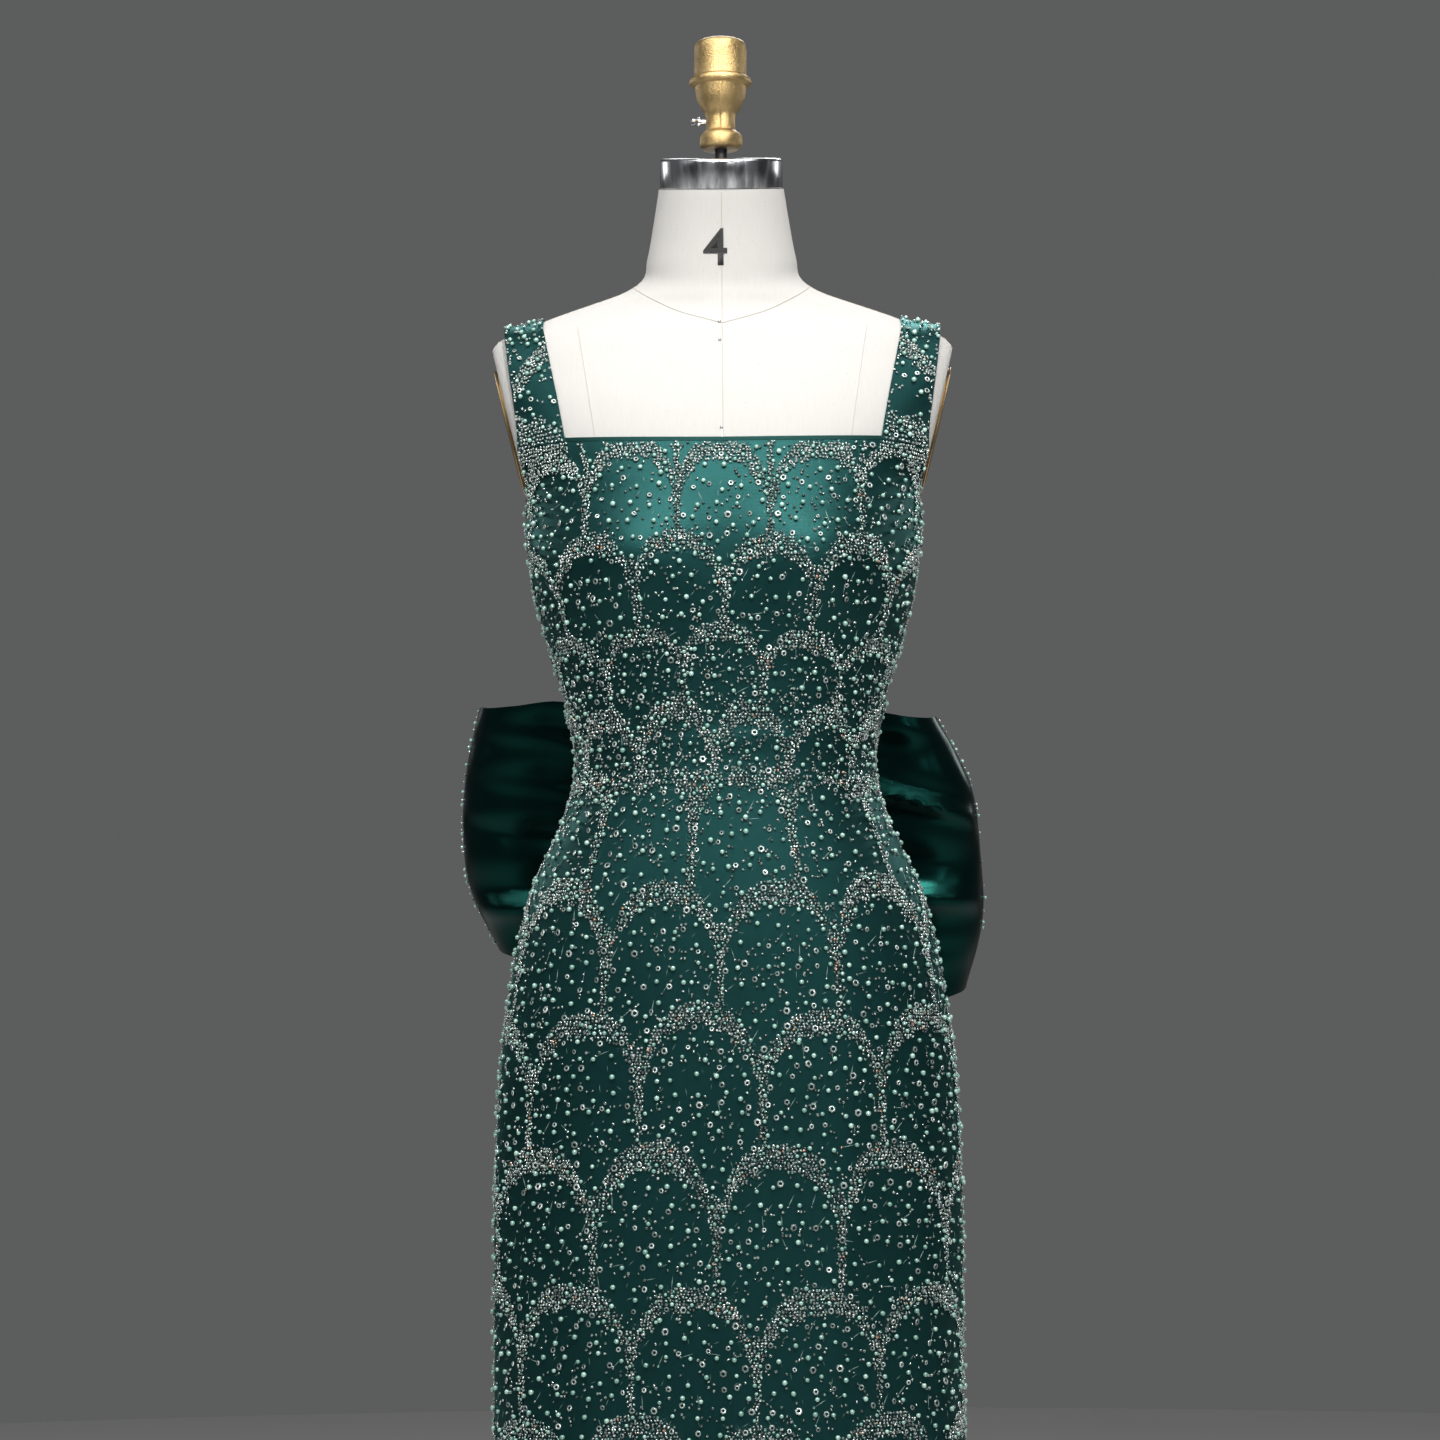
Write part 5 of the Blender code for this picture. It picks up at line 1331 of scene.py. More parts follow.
def strap_net(side, tree):
    """A strap's inner and outer nets, its ways out, and its places across and along."""
    front, back = (STRAP_BASE, NECKLINE_Z - BINDING_HEIGHT), (STRAP_BACK, BACK_TOP_Z + SEAM)

    def thread_point(share, t):
        (near_x, far_x), low_z = back if t > 0.5 else front
        low_x = near_x + (far_x - near_x) * share
        top_x = STRAP_TOP[0] + (STRAP_TOP[1] - STRAP_TOP[0]) * share
        return lay_on_shoulder(tree, side, low_x, top_x, low_z, math.pi * t)

    dense = np.linspace(0.0, 1.0, 181)
    edge = np.array([thread_point(1.0, t)[0] for t in dense])
    run = np.concatenate([[0.0], np.cumsum(np.linalg.norm(np.diff(edge, axis=0), axis=1))])
    steps = np.interp(np.linspace(0.0, run[-1], STRAP_ROWS), run, dense)
    shares = np.linspace(0.0, 1.0, STRAP_THREADS)
    laid = np.array([[thread_point(share, t) for share in shares] for t in steps])
    points, ways = laid[:, :, 0], laid[:, :, 1]
    lift = STRAP_CLEAR + STRAP_LIFT * shares[None, :] ** 1.5 * np.sin(math.pi * steps)[:, None] ** 3
    inner = points + ways * lift[..., None]
    for _ in range(6):
        inner[1:-1] = (inner[:-2] + 2 * inner[1:-1] + inner[2:]) / 4
        for i, j in np.ndindex(inner.shape[:2]):
            near, out, _, _ = tree.find_nearest(Vector(inner[i, j]))
            short = STRAP_CLEAR - (Vector(inner[i, j]) - near).dot(out)
            if short > 0.0:
                inner[i, j] += ways[i, j] * short
    outer = inner + ways * CLOTH
    # Both ends run smoothly into the cloth that they are sewn to.
    hold = (1.0 - np.arange(STRAP_BLEND) / STRAP_BLEND)[:, None, None] ** 2
    for rows, ((near_x, far_x), low_z), behind in ((slice(0, STRAP_BLEND), front, False),
                                                   (slice(None, -STRAP_BLEND - 1, -1), back, True)):
        around = np.array([side * around_at(near_x + (far_x - near_x) * s, low_z, behind) for s in shares])
        for net, out in ((inner, CLOTH_CLEAR), (outer, OUTER_FACE)):
            seat = on_cloth(around, np.full_like(around, low_z), out)[0]
            net[rows] += (seat - net[rows][0]) * hold
    return inner, outer, ways, shares, run[-1] * np.linspace(0.0, 1.0, STRAP_ROWS)


body_tree = BVHTree.FromObject(form_body, bpy.context.evaluated_depsgraph_get())
strap_nets = {word: strap_net(side, body_tree) for word, side in SIDES.items()}
print("straps", {word: round(float(net[-1][-1]), 3) for word, net in strap_nets.items()}, "m long")

# %% [markdown]
# ## The straps' cloth and their beadwork
#
# A strap's beads follow its own pattern: bands that slant across it, a close patch at each
# end and a fringe along both edges. The pattern is a function of two places, the share
# across the strap and the metres along it. The cloth's attribute and the beads both read it,
# so the tiny domes in the satin lie where the beads do.

# %% Where beads lie on the straps
STRAP_WIDTH = 0.036
# A band that crosses a strap: its place along it at the inner edge, how far it slants by
# the outer edge, and half its width.
STRAP_BANDS = {
    "left": ((0.062, -0.019, 0.0100), (0.150, 0.014, 0.0095), (0.222, 0.016, 0.0100)),
    "right": ((0.067, -0.012, 0.0100), (0.146, 0.018, 0.0090), (0.216, 0.012, 0.0105)),
}
STRAP_FOOT_BEADS = {"left": (0.0100, 0.0240), "right": (0.0170, 0.0190)}
STRAP_END_BEADS = 0.012
EDGE_FRINGE = 0.0026
FRINGE_COVER = 0.70


def strap_cover(word, share, along):
    """How close the beadwork is on a strap."""
    share, along = np.broadcast_arrays(share, along)
    wander = 0.0022 * np.sin(along * 410.0 + share * 9.0 + (1.0 if word == "left" else 4.0))
    parts = [np.clip((half - np.abs(along - start - slant * share + wander)) / 0.0035, 0.0, 1.0)
             for start, slant, half in STRAP_BANDS[word]]
    inner_foot, outer_foot = STRAP_FOOT_BEADS[word]
    foot = inner_foot + (outer_foot - inner_foot) * share - along - wander
    top = STRAP_END_BEADS - (strap_nets[word][-1][-1] - along) + wander
    parts += [np.clip(end / 0.004, 0.0, 1.0) for end in (foot, top)]
    parts.append(FRINGE_COVER * (np.minimum(share, 1.0 - share) * STRAP_WIDTH < EDGE_FRINGE))
    return np.max(parts, axis=0)


def on_strap(word, share, along, out=0.0):
    """Points out from a strap's face, and the way out there."""
    _, net, ways, shares, lengths = strap_nets[word]
    row = np.interp(along, lengths, np.arange(len(lengths)))
    column = np.interp(share, shares, np.arange(len(shares)))
    point, way = net_between((net, ways), row, column)
    way = unit(way)
    return point + way * np.asarray(out)[..., None], way


straps = {}
for word, (inner, outer, _, shares, along) in strap_nets.items():
    wide = np.linalg.norm(outer[:, -1] - outer[:, 0], axis=-1)
    share, along = shares[None, :], along[:, None]
    straps[word] = wall("gown_strap_" + word, inner, outer, gown_satin,
                        {"cloth": together(share * wide[:, None], along)},
                        attributes={"beads": strap_cover(word, share, along)})
    print("strap", word, "is", round(float(wide.mean()) * 1000, 1), "mm wide")

# %% [markdown]
# ## The zip
#
# A fine zip closes the back from the top edge to below the waist. Between the folded edges
# only its row of teeth shows, on a sliver of tape. The slider sits at the top with its pull
# hanging down. The pull is the one piece that moves: it swings on the slider's bar, so it is
# its own piece and rides on its own body.
#
# The teeth repeat along a path, which is work for Geometry Nodes: one tooth is instanced at
# even steps along the line, turned to follow it, and made real at the end.

# %% Geometry Nodes helpers and the teeth
def baked(name, tree, points, edges=(), attributes=None, **values):
    """Runs a Geometry Nodes tree on points or a path and keeps the result as a plain mesh.

    attributes maps a name to a number or a vector for each point. values set the tree's
    inputs by their names, with underscores for spaces.
    """
    source = bpy.data.meshes.new(name + "_points")
    source.from_pydata(np.asarray(points, float).tolist(), edges, [])
    for key, numbers in (attributes or {}).items():
        numbers = np.asarray(numbers, np.float32)
        kind, field = ("FLOAT_VECTOR", "vector") if numbers.ndim == 2 else ("FLOAT", "value")
        source.attributes.new(key, kind, "POINT").data.foreach_set(field, numbers.ravel())
    maker = link_object(name + "_maker", source)
    modifier = maker.modifiers.new("nodes", "NODES")
    modifier.node_group = tree
    sockets = {item.name: item.identifier for item in tree.interface.items_tree if item.in_out == "INPUT"}
    for key, value in values.items():
        modifier[sockets[key.replace("_", " ")]] = value
    graph = bpy.context.evaluated_depsgraph_get()
    mesh = bpy.data.meshes.new_from_object(maker.evaluated_get(graph), depsgraph=graph)
    bpy.data.objects.remove(maker)
    bpy.data.meshes.remove(source)
    mesh.name = name
    return link_object(name, mesh)


def instancing_tree(name, inputs, build):
    """A tree that instances pieces, makes them real and gives them their material.

    build is given the tree and its inputs' sockets, and gives back the instances.
    """
    tree, start, end = new_tree("GeometryNodeTree", name,
                                {"Geometry": "Geometry", **inputs, "Material": "Material"},
                                {"Geometry": "Geometry"})
    real = result(tree, "GeometryNodeRealizeInstances", Geometry=build(tree, start))
    finished = result(tree, "GeometryNodeSetMaterial", Geometry=real, Material=start["Material"])
    fill(tree, end, Geometry=finished)
    return tree


def aligned(tree, axis, way, settings=None, **inputs):
    """A rotation that turns an axis along a direction."""
    return result(tree, "FunctionNodeAlignRotationToVector", {"axis": axis, **(settings or {})},
                  Vector=way, **inputs)


def lay_teeth(tree, start):
    """Small bars at even steps along a path, square to it and facing out."""
    path = result(tree, "GeometryNodeMeshToCurve", Mesh=start["Geometry"])
    steps = result(tree, "GeometryNodeResampleCurve", {"mode": "LENGTH"}, Curve=path, Length=start["Pitch"])
    return result(tree, "GeometryNodeInstanceOnPoints", Points=steps,
                  Instance=result(tree, "GeometryNodeMeshCube", Size=start["Size"]),
                  Rotation=aligned(tree, "Z", result(tree, "GeometryNodeInputTangent")))


TOOTH_PITCH = 0.0013
TOOTH = (0.0022, 0.0009, 0.0007)
TOOTH_STEPS = 120
TAPE_STEPS = 244
SLIDER_WIDTH = 0.0036
SLIDER_FOOT_Z = 1.2589
# The slider's side view and the slot in it, as depth and height.
SLIDER_OUTLINE = ((0.0, 0.0), (0.004, 0.0), (0.004, 0.005), (0.0022, 0.0086), (0.0, 0.0086), (0.0, 0.004))
SLIDER_SLOT = ((0.0012, 0.0012), (0.003, 0.0012), (0.003, 0.0029), (0.003, 0.0046), (0.0012, 0.0046),
               (0.0012, 0.0029))
HINGE = (0.0, 0.109351, 1.2615)
HINGE_DEPTH = 0.0021
# Half of the pull and of its eye, as distance from the middle and height above the hinge.
PULL_THICK = 0.0010
PULL_OUTLINE = ((0.003, 0.0005), (0.0032, -0.0044), (0.0022, -0.0097), (0.0022, -0.0245), (0.0014, -0.0271))
PULL_EYE = ((0.0022, -0.0005), (0.0022, -0.0031), (0.0022, -0.0044), (0.0011, -0.0044), (0.0004, -0.0044))


def framed(name, outline, hole, thickness, place, edge):
    """A flat metal frame with a hole, a thickness and softened edges."""
    bm = bmesh.new()
    sheets = [[[bm.verts.new(place(*p, depth)) for p in ring] for ring in (outline, hole)]
              for depth in (-thickness / 2, thickness / 2)]
    for ring_a, ring_b in (*sheets, *zip(*sheets)):
        for j in range(len(outline)):
            k = (j + 1) % len(outline)
            bm.faces.new((ring_a[j], ring_a[k], ring_b[k], ring_b[j]))
    bmesh.ops.recalc_face_normals(bm, faces=bm.faces)
    sharp = [e for e in bm.edges if len(e.link_faces) == 2 and e.calc_face_angle() > math.radians(20)]
    bmesh.ops.bevel(bm, geom=sharp, offset=edge, segments=2, profile=0.6, affect="EDGES",
                    clamp_overlap=True)
    mesh = bpy.data.meshes.new(name)
    bm.to_mesh(mesh)
    bm.free()
    mesh.materials.append(zip_metal)
    mesh.shade_smooth()
    mesh.set_sharp_from_angle(angle=math.radians(40))
    return link_object(name, mesh)


slider = framed("gown_zip_slider", SLIDER_OUTLINE, SLIDER_SLOT, SLIDER_WIDTH,
                lambda d, h, x: (x, HINGE[1] - HINGE_DEPTH + d, SLIDER_FOOT_Z + h), 0.0002)
both_sides = [[*half, *((-x, z) for x, z in reversed(half))] for half in (PULL_OUTLINE, PULL_EYE)]
pull = framed("gown_zip_pull", *both_sides, PULL_THICK,
              lambda x, z, d: (x, HINGE[1] + d, HINGE[2] + z), 0.00018)
zip_z = np.linspace(ZIP_END_Z, BACK_TOP_Z - SEAM, TAPE_STEPS)
middles = [on_cloth(2.0, zip_z, CLOTH_CLEAR + out)[0] for out in (0.0, CLOTH * 0.6)]
tape_nets = [np.stack([middle + [x, 0.0, 0.0] for x in (-ZIP_WIDTH / 2, ZIP_WIDTH / 2)], axis=1)
             for middle in middles]
tape = wall("gown_zip_tape", *tape_nets, zip_tape, coarse=1)
tooth_z = np.linspace(ZIP_END_Z + 0.001, SLIDER_FOOT_Z + 0.004, TOOTH_STEPS)
teeth_tree = instancing_tree("zip teeth", {"Pitch": TOOTH_PITCH, "Size": TOOTH}, lay_teeth)
chain = [(k, k + 1) for k in range(TOOTH_STEPS - 1)]
teeth = baked("gown_zip_teeth", teeth_tree, on_cloth(2.0, tooth_z, CLOTH_CLEAR + CLOTH * 0.75)[0],
              chain, Pitch=TOOTH_PITCH, Size=TOOTH, Material=zip_metal)
print("teeth", len(teeth.data.polygons) // 6, "slider faces", len(slider.data.polygons))

# %% [markdown]
# ## The bow
#
# The bow is one wide band of heavy satin. Each loop leaves the knot gathered, opens out to
# its full height, turns back on itself and returns behind. A band round the middle is the
# knot. Folds fan out from the knot and soften towards the turned edge.
#
# The loops are surfaces of two numbers: `s` runs along the band from the front of the knot
# round the turn and back, and `t` runs across it from its lower edge to its upper one. Each
# fold is a crease on that surface, with its own place, width and length, so no two agree.

# %% The bow's loops and knot
KNOT_Z = 1.0120
KNOT_HALF_WIDTH = 0.030
KNOT_HALF_HEIGHT = 0.036
KNOT_DEPTH = 0.028
KNOT_ROUNDNESS = 4.2
KNOT_BULGE = 0.0025
KNOT_NARROWING = 0.10
KNOT_PLEAT = 0.0010
BOW_CLOTH = 0.0022
BOW_SEAT = (0.0, 0.10098056, 1.0120)
BOW_TURN = np.array(Euler((math.radians(14.5409), 0.0, 0.0)).to_matrix()).T
BOW_FOLDS = 5
BOW_FOLD_DEPTH = 0.0028
BOW_FOLD_FADE = 0.75
BOW_FOLD_PHASES = (0.6, 2.2)
BOW_TUCK = 0.0140
LOOP_MOUTH = 0.033
LOOP_STEPS = 85
LOOP_ACROSS = 63
# A loop's side view at even steps along its band: how far out, how deep and how spread.
LOOP = np.array((
    (0.0040, 0.0050, 0.21), (0.0330, 0.0052, 0.23), (0.0600, 0.0120, 0.54), (0.1000, 0.0190, 0.92),
    (0.1400, 0.0200, 1.04), (0.1800, 0.0190, 1.01), (0.2040, 0.0280, 0.98), (0.2125, 0.0450, 0.97),
    (0.2020, 0.0630, 0.98), (0.1650, 0.0740, 1.02), (0.1200, 0.0720, 0.92), (0.0750, 0.0530, 0.62),
    (0.0360, 0.0232, 0.24), (0.0040, 0.0230, 0.21),
))
Loop = namedtuple("Loop", "side middle_z half_height reach")
LOOPS = {
    "left": Loop(-1, 1.0150, 0.1012, (0.181, 0.203, 0.208, 0.204, 0.193)),
    "right": Loop(1, 0.9920, 0.1135, (0.191, 0.204, 0.202, 0.194, 0.167)),
}
# A fold on a loop: where it starts and ends along the band, where it lies across it at each
# of those, half its width as a share of the band, and how far it stands out.
FOLDS = {
    "left": (
        (0.10, 0.50, 0.55, 0.86, 0.070, 0.0030),
        (0.10, 0.44, 0.20, 0.42, 0.060, 0.0024),
        (0.10, 0.52, -0.15, 0.10, 0.065, -0.0024),
        (0.12, 0.52, -0.42, -0.66, 0.085, 0.0085),
        (0.10, 0.40, -0.80, -0.92, 0.060, 0.0030),
        (0.54, 0.92, 0.70, 0.50, 0.070, 0.0034),
        (0.56, 0.92, 0.10, 0.05, 0.060, -0.0032),
        (0.52, 0.92, -0.55, -0.35, 0.075, 0.0036),
    ),
    "right": (
        (0.10, 0.46, 0.80, 0.92, 0.060, 0.0024),
        (0.12, 0.54, 0.62, 0.22, 0.060, 0.0085),
        (0.10, 0.42, 0.10, -0.02, 0.060, -0.0034),
        (0.12, 0.52, -0.16, -0.34, 0.075, 0.0080),
        (0.10, 0.46, -0.55, -0.66, 0.060, -0.0030),
        (0.10, 0.38, -0.85, -0.92, 0.050, 0.0026),
        (0.54, 0.92, 0.60, 0.45, 0.070, 0.0036),
        (0.58, 0.92, -0.05, -0.05, 0.055, -0.0030),
        (0.52, 0.92, -0.62, -0.40, 0.070, 0.0036),
    ),
}


def loop_middle(word, s, t):
    """Points on the middle surface of a bow loop, in the bow's own frame."""
    loop = LOOPS[word]
    x, y, spread = (smooth_curve(np.linspace(0.0, 1.0, len(LOOP)), column, s) for column in LOOP.T)
    reach = smooth_curve(np.linspace(-1.0, 1.0, len(loop.reach)), loop.reach, t)
    out = np.maximum(0.0, x - LOOP_MOUTH) / (LOOP[:, 0].max() - LOOP_MOUTH)
    x = np.minimum(x, LOOP_MOUTH) + out * (reach - LOOP_MOUTH)
    closed = LOOP[0, 2]
    opened = np.clip((spread - closed) / (1.0 - closed), 0.0, 1.0)
    z = (loop.middle_z - KNOT_Z) * opened + t * spread * loop.half_height
    z = z - BOW_TUCK * opened * np.clip((s - 0.5) / 0.2, 0.0, 1.0) * np.maximum(t, 0.0) ** 2
    depth = BOW_FOLD_DEPTH * opened * (1.0 - BOW_FOLD_FADE * np.minimum(1.0, out))
    y = y + depth * np.cos(BOW_FOLDS * math.pi * t + np.where(s < 0.5, *BOW_FOLD_PHASES))
    front = np.where(s < 0.5, -1.0, 1.0)
    for start, end, t_start, t_end, half_width, stands in FOLDS[word]:
        share = np.clip((s - start) / (end - start), 0.0, 1.0)
        middle = t_start + (t_end - t_start) * share
        swell = np.clip(np.sin(math.pi * share), 0.0, 1.0) ** 0.8
        across = (t - middle) / (half_width * (0.80 + 0.40 * share))
        y = y + front * stands * swell * np.exp(-(across**2))
    return np.stack([loop.side * x, y, z], axis=-1)


def loop_way(word, s, t):
    """The way out from a loop's middle surface, in the bow's own frame."""
    run = loop_middle(word, np.minimum(s + 0.004, 1), t) - loop_middle(word, np.maximum(s - 0.004, 0), t)
    rise = loop_middle(word, s, np.minimum(t + 0.01, 1)) - loop_middle(word, s, np.maximum(t - 0.01, -1))
    return unit(np.cross(run, rise))


def seated(points):
    """Points in the bow's own frame brought to its place on the gown's back."""
    return points @ BOW_TURN + BOW_SEAT


def loop_nets(word):
    """The inner and outer nets of a loop, and its lengths along and across in metres."""
    steps = np.linspace(0.0, 1.0, LOOP_STEPS), np.linspace(-1.0, 1.0, LOOP_ACROSS)
    s, t = np.meshgrid(*steps, indexing="ij")
    middle = loop_middle(word, s, t)
    half = loop_way(word, s, t) * BOW_CLOTH / 2
    along = np.cumsum(np.linalg.norm(np.diff(middle, axis=0, prepend=middle[:1]), axis=-1), axis=0)
    across = np.cumsum(np.linalg.norm(np.diff(middle, axis=1, prepend=middle[:, :1]), axis=-1), axis=1)
    return seated(middle - half), seated(middle + half), along, across


def knot_net(turn, across, worn):
    """The knot's inner net, or its outer one if worn, which bulges and has soft pleats."""
    corner = 2.0 / KNOT_ROUNDNESS
    y = np.copysign(np.abs(np.cos(turn)) ** corner, np.cos(turn))
    z = np.copysign(np.abs(np.sin(turn)) ** corner, np.sin(turn))
    pleat = KNOT_PLEAT * np.cos(math.pi * (across * 3.1 + 0.25 * np.sin(2 * turn) + 0.3))
    swell = worn * (KNOT_BULGE * (1.0 - across**2) + pleat)
    clear = BOW_CLOTH * (worn - 1)
    half_y = KNOT_DEPTH / 2 + clear + np.where(y > 0.0, swell, 0.0)
    half_z = KNOT_HALF_HEIGHT + clear + swell
    narrow = 1.0 - KNOT_NARROWING * np.abs(z)
    return together(KNOT_HALF_WIDTH * across * narrow, KNOT_DEPTH / 2 + y * half_y, z * half_z)


def make_knot():
    """The band round the bow's middle, closed in both directions."""
    turns = np.linspace(0.0, 2.0 * math.pi, 81)[:-1, None]
    widths = np.linspace(-1.0, 1.0, 23)
    section = np.concatenate([knot_net(turns, widths, 1), knot_net(turns, widths, 0)[:, ::-1]], axis=1)
    index = np.arange(section[..., 0].size).reshape(section.shape[:2])
    ahead = np.roll(index, -1, 0)
    faces = np.stack([index, np.roll(index, -1, 1), np.roll(ahead, -1, 1), ahead], axis=-1).reshape(-1, 4)
    girth = 2.0 * (KNOT_DEPTH + 2.0 * KNOT_HALF_HEIGHT)
    uv = together(np.concatenate([widths, widths[::-1]]) * KNOT_HALF_WIDTH, turns / (2 * math.pi) * girth)
    return outward(new_object("gown_bow_knot", seated(section), faces, bow_satin, {"cloth": uv}))


loops = {}
loop_sizes = {}
for word in LOOPS:
    inner, outer, along, across = loop_nets(word)
    uv = {"cloth": np.stack([across, along], axis=-1)}
    loops[word] = wall("gown_bow_loop_" + word, inner, outer, bow_satin, uv)
    loop_sizes[word] = (float(across[LOOP_STEPS // 2, -1]), float(along[-1].mean()))
    print("loop", word, "band", [round(v, 3) for v in loop_sizes[word]], "m")
knot = make_knot()
print("knot faces", len(knot.data.polygons))

# %% [markdown]
# ## The beads
#
# Three kinds are sewn on. Seed beads fill the arches' bands. Mint pearls and ring sequins
# lie scattered between them. Thousands of beads can't be placed by hand, and one mesh each
# would be far too heavy.
#
# So the places are worked out first, as plain points: rows of places set closely like
# bricks, each moved a little, kept or left out by how close the beadwork is there. A bead is
# kept clear of its larger neighbours, of the cloth's edges, of the zip and of the knot.

# %% Where the beads go
SEED_SPACING = 0.00251
SEED_SPACING_HEM = 0.00310
PEARL_SPACING = 0.0155
PEARL_SPACING_HEM = 0.0185
BAND_PEARL_SPACING = 0.0072
RING_SPACING = 0.0165
RING_SPACING_HEM = 0.0195
SEED_SIZES = (0.00110, 0.00145)
PEARL_SIZES = (0.0017, 0.0022)
BAND_PEARL_SIZES = (0.0014, 0.0018)
RING_SIZES = (0.0021, 0.0025, 0.0030)
RING_SHARES = (0.35, 0.45, 0.20)
LARGE_EDGE, BAND_PEARL_EDGE, SEED_EDGE = 0.004, 0.003, 0.0012
GROUND_COVER, BAND_COVER = 0.45, 0.35
BAND_PEARL_SHARE = 0.30
GROUND_SEEDS = 0.080
SEED_CLOSE = 1.3
SEED_GAP = 0.0007
RING_GAP = 0.0028
HEM_FADE_Z = (0.30, 0.66)
TOP_Z = 1.31
ROW_STEP = 0.866
ZIP_CLEAR = 0.0045
KNOT_CLEAR = (0.056, 0.971, 1.053)
Beads = namedtuple("Beads", "around z size")
dice = np.random.default_rng(20)


def brick_places(spacing, low_z, high_z, spacing_hem=None):
    """Places set like bricks all round the figure, wider apart towards the hem if asked."""
    around, levels = [], []
    z = low_z
    while z < high_z:
        step = np.interp(z, HEM_FADE_Z, (spacing_hem or spacing, spacing))
        front, back = np.interp(z, net_z, net_front), np.interp(z, net_z, net_back)
        count = int(2 * (front + back) / step)
        run = (np.arange(count) + dice.random()) / count * 2 * (front + back)
        quarters = np.array([0.0, back, back + front, back + 2 * front, 2 * (back + front)])
        places = np.interp(run + dice.normal(0, 0.16 * step, count), quarters, [-2, -1, 0, 1, 2])
        around.append(wrapped(places))
        levels.append(np.full(count, z) + dice.normal(0, 0.14 * step, count))
        z += step * ROW_STEP
    return np.concatenate(around), np.concatenate(levels)


def top_edge(around):
    """The gown's top edge all round."""
    ahead = np.clip(around, -1, 1)
    front = np.minimum(front_edge(ahead), neckline(ahead) - BINDING_HEIGHT)
    return np.where(np.abs(around) <= 1.0, front, back_edge(np.clip(np.abs(around), 1, 2)))


def on_gown(around, z, edge):
    """Which places have cloth under them, keeping an edge free and the zip and knot clear."""
    x = np.abs(read_net(around, z)[0][:, 0])
    zipped = (x < ZIP_CLEAR) & (z > ZIP_END_Z - 0.004)
    knotted = (x < KNOT_CLEAR[0]) & (z > KNOT_CLEAR[1]) & (z < KNOT_CLEAR[2])
    clear = (np.abs(around) <= 1.0) | ~(zipped | knotted)
    return (z > HEM_Z + edge) & (z < top_edge(around) - edge) & clear


def free_of(points, others, clear):
    """Which points keep clear of the others. clear is a distance for each of the others."""
    tree = KDTree(len(others))
    for k, point in enumerate(others):
        tree.insert(point, k)
    tree.balance()
    reach = float(np.max(clear))
    return np.array([all(distance > clear[other] for _, other, distance in tree.find_range(point, reach))
                     for point in points], bool)


def place_pearls():
    """Mint pearls: evenly strewn over the ground, closer and smaller in the bands."""
    around, z = brick_places(PEARL_SPACING, HEM_Z, TOP_Z, PEARL_SPACING_HEM)
    keep = on_gown(around, z, LARGE_EDGE) & (bead_cover(around, z) < GROUND_COVER)
    open_ground = around[keep], z[keep]
    around, z = brick_places(BAND_PEARL_SPACING, HEM_Z, TOP_Z)
    keep = on_gown(around, z, BAND_PEARL_EDGE) & (bead_cover(around, z) > BAND_COVER)
    keep = keep & (dice.random(len(z)) < BAND_PEARL_SHARE)
    banded = around[keep], z[keep]
    sizes = [dice.uniform(*PEARL_SIZES, len(open_ground[1])),
             dice.uniform(*BAND_PEARL_SIZES, len(banded[1]))]
    return Beads(*(np.concatenate(pair) for pair in (*zip(open_ground, banded), sizes)))


def place_rings(others):
    """Ring sequins between the pearls, in three sizes."""
    around, z = brick_places(RING_SPACING, HEM_Z + 0.007, TOP_Z, RING_SPACING_HEM)
    keep = on_gown(around, z, LARGE_EDGE)
    around, z = around[keep], z[keep]
    size = dice.choice(RING_SIZES, len(z), p=RING_SHARES)
    spots = read_net(others.around, others.z)[0]
    keep = free_of(read_net(around, z)[0], spots, others.size + RING_GAP)
    return Beads(around[keep], z[keep], size[keep])


def place_seeds(others):
    """Seed beads: close in the bands, few on the ground, and none under a larger bead."""
    around, z = brick_places(SEED_SPACING, HEM_Z, TOP_Z, SEED_SPACING_HEM)
    cover = bead_cover(around, z)
    chance = GROUND_SEEDS + (1.0 - GROUND_SEEDS) * np.clip(cover * SEED_CLOSE, 0.0, 1.0)
    keep = (dice.random(len(z)) < chance) & on_gown(around, z, SEED_EDGE)
    around, z = around[keep], z[keep]
    spots = read_net(others.around, others.z)[0]
    keep = free_of(read_net(around, z)[0], spots, others.size + SEED_GAP)
    return Beads(around[keep], z[keep], dice.uniform(*SEED_SIZES, keep.sum()))


pearls = place_pearls()
rings = place_rings(pearls)
seeds = place_seeds(Beads(*(np.concatenate(pair) for pair in zip(pearls, rings))))
print("pearls", len(pearls.z), "rings", len(rings.z), "seeds", len(seeds.z))

# %% [markdown]
# ## The trees that turn points into beads
#
# A Geometry Nodes tree puts a small bead on each point, turned to stand on the cloth, and
# makes all of them one mesh. Its inputs are the largest tilt, how flat a bead sits, a seed
# for the random choices and the material. The points bring `way`, the direction out from
# the cloth, `size`, the radius, and `shine`, which gives the seed beads on the chest bright
# tones, as painted light, and those on the open ground dull ones.
#
# A seed bead has ten smooth faces. It stands on its hole, and the material draws the hole from
# `rise`, the height within the bead, as a dip with its shade painted near black, so that no triangle is
# spent on it.

# %% Bead trees
# How much of the tone ramp's bright end dull seed beads lose, and how much of its dark end the seed beads
# on the chest lose, as painted light.
DULL_SHARE = 0.22
PAINTED_LIGHT_SHARE = 0.64


def point_value(tree, name, kind="FLOAT"):
    """A number or a vector that the points bring."""
    return result(tree, "GeometryNodeInputNamedAttribute", {"data_type": kind}, Name=name)


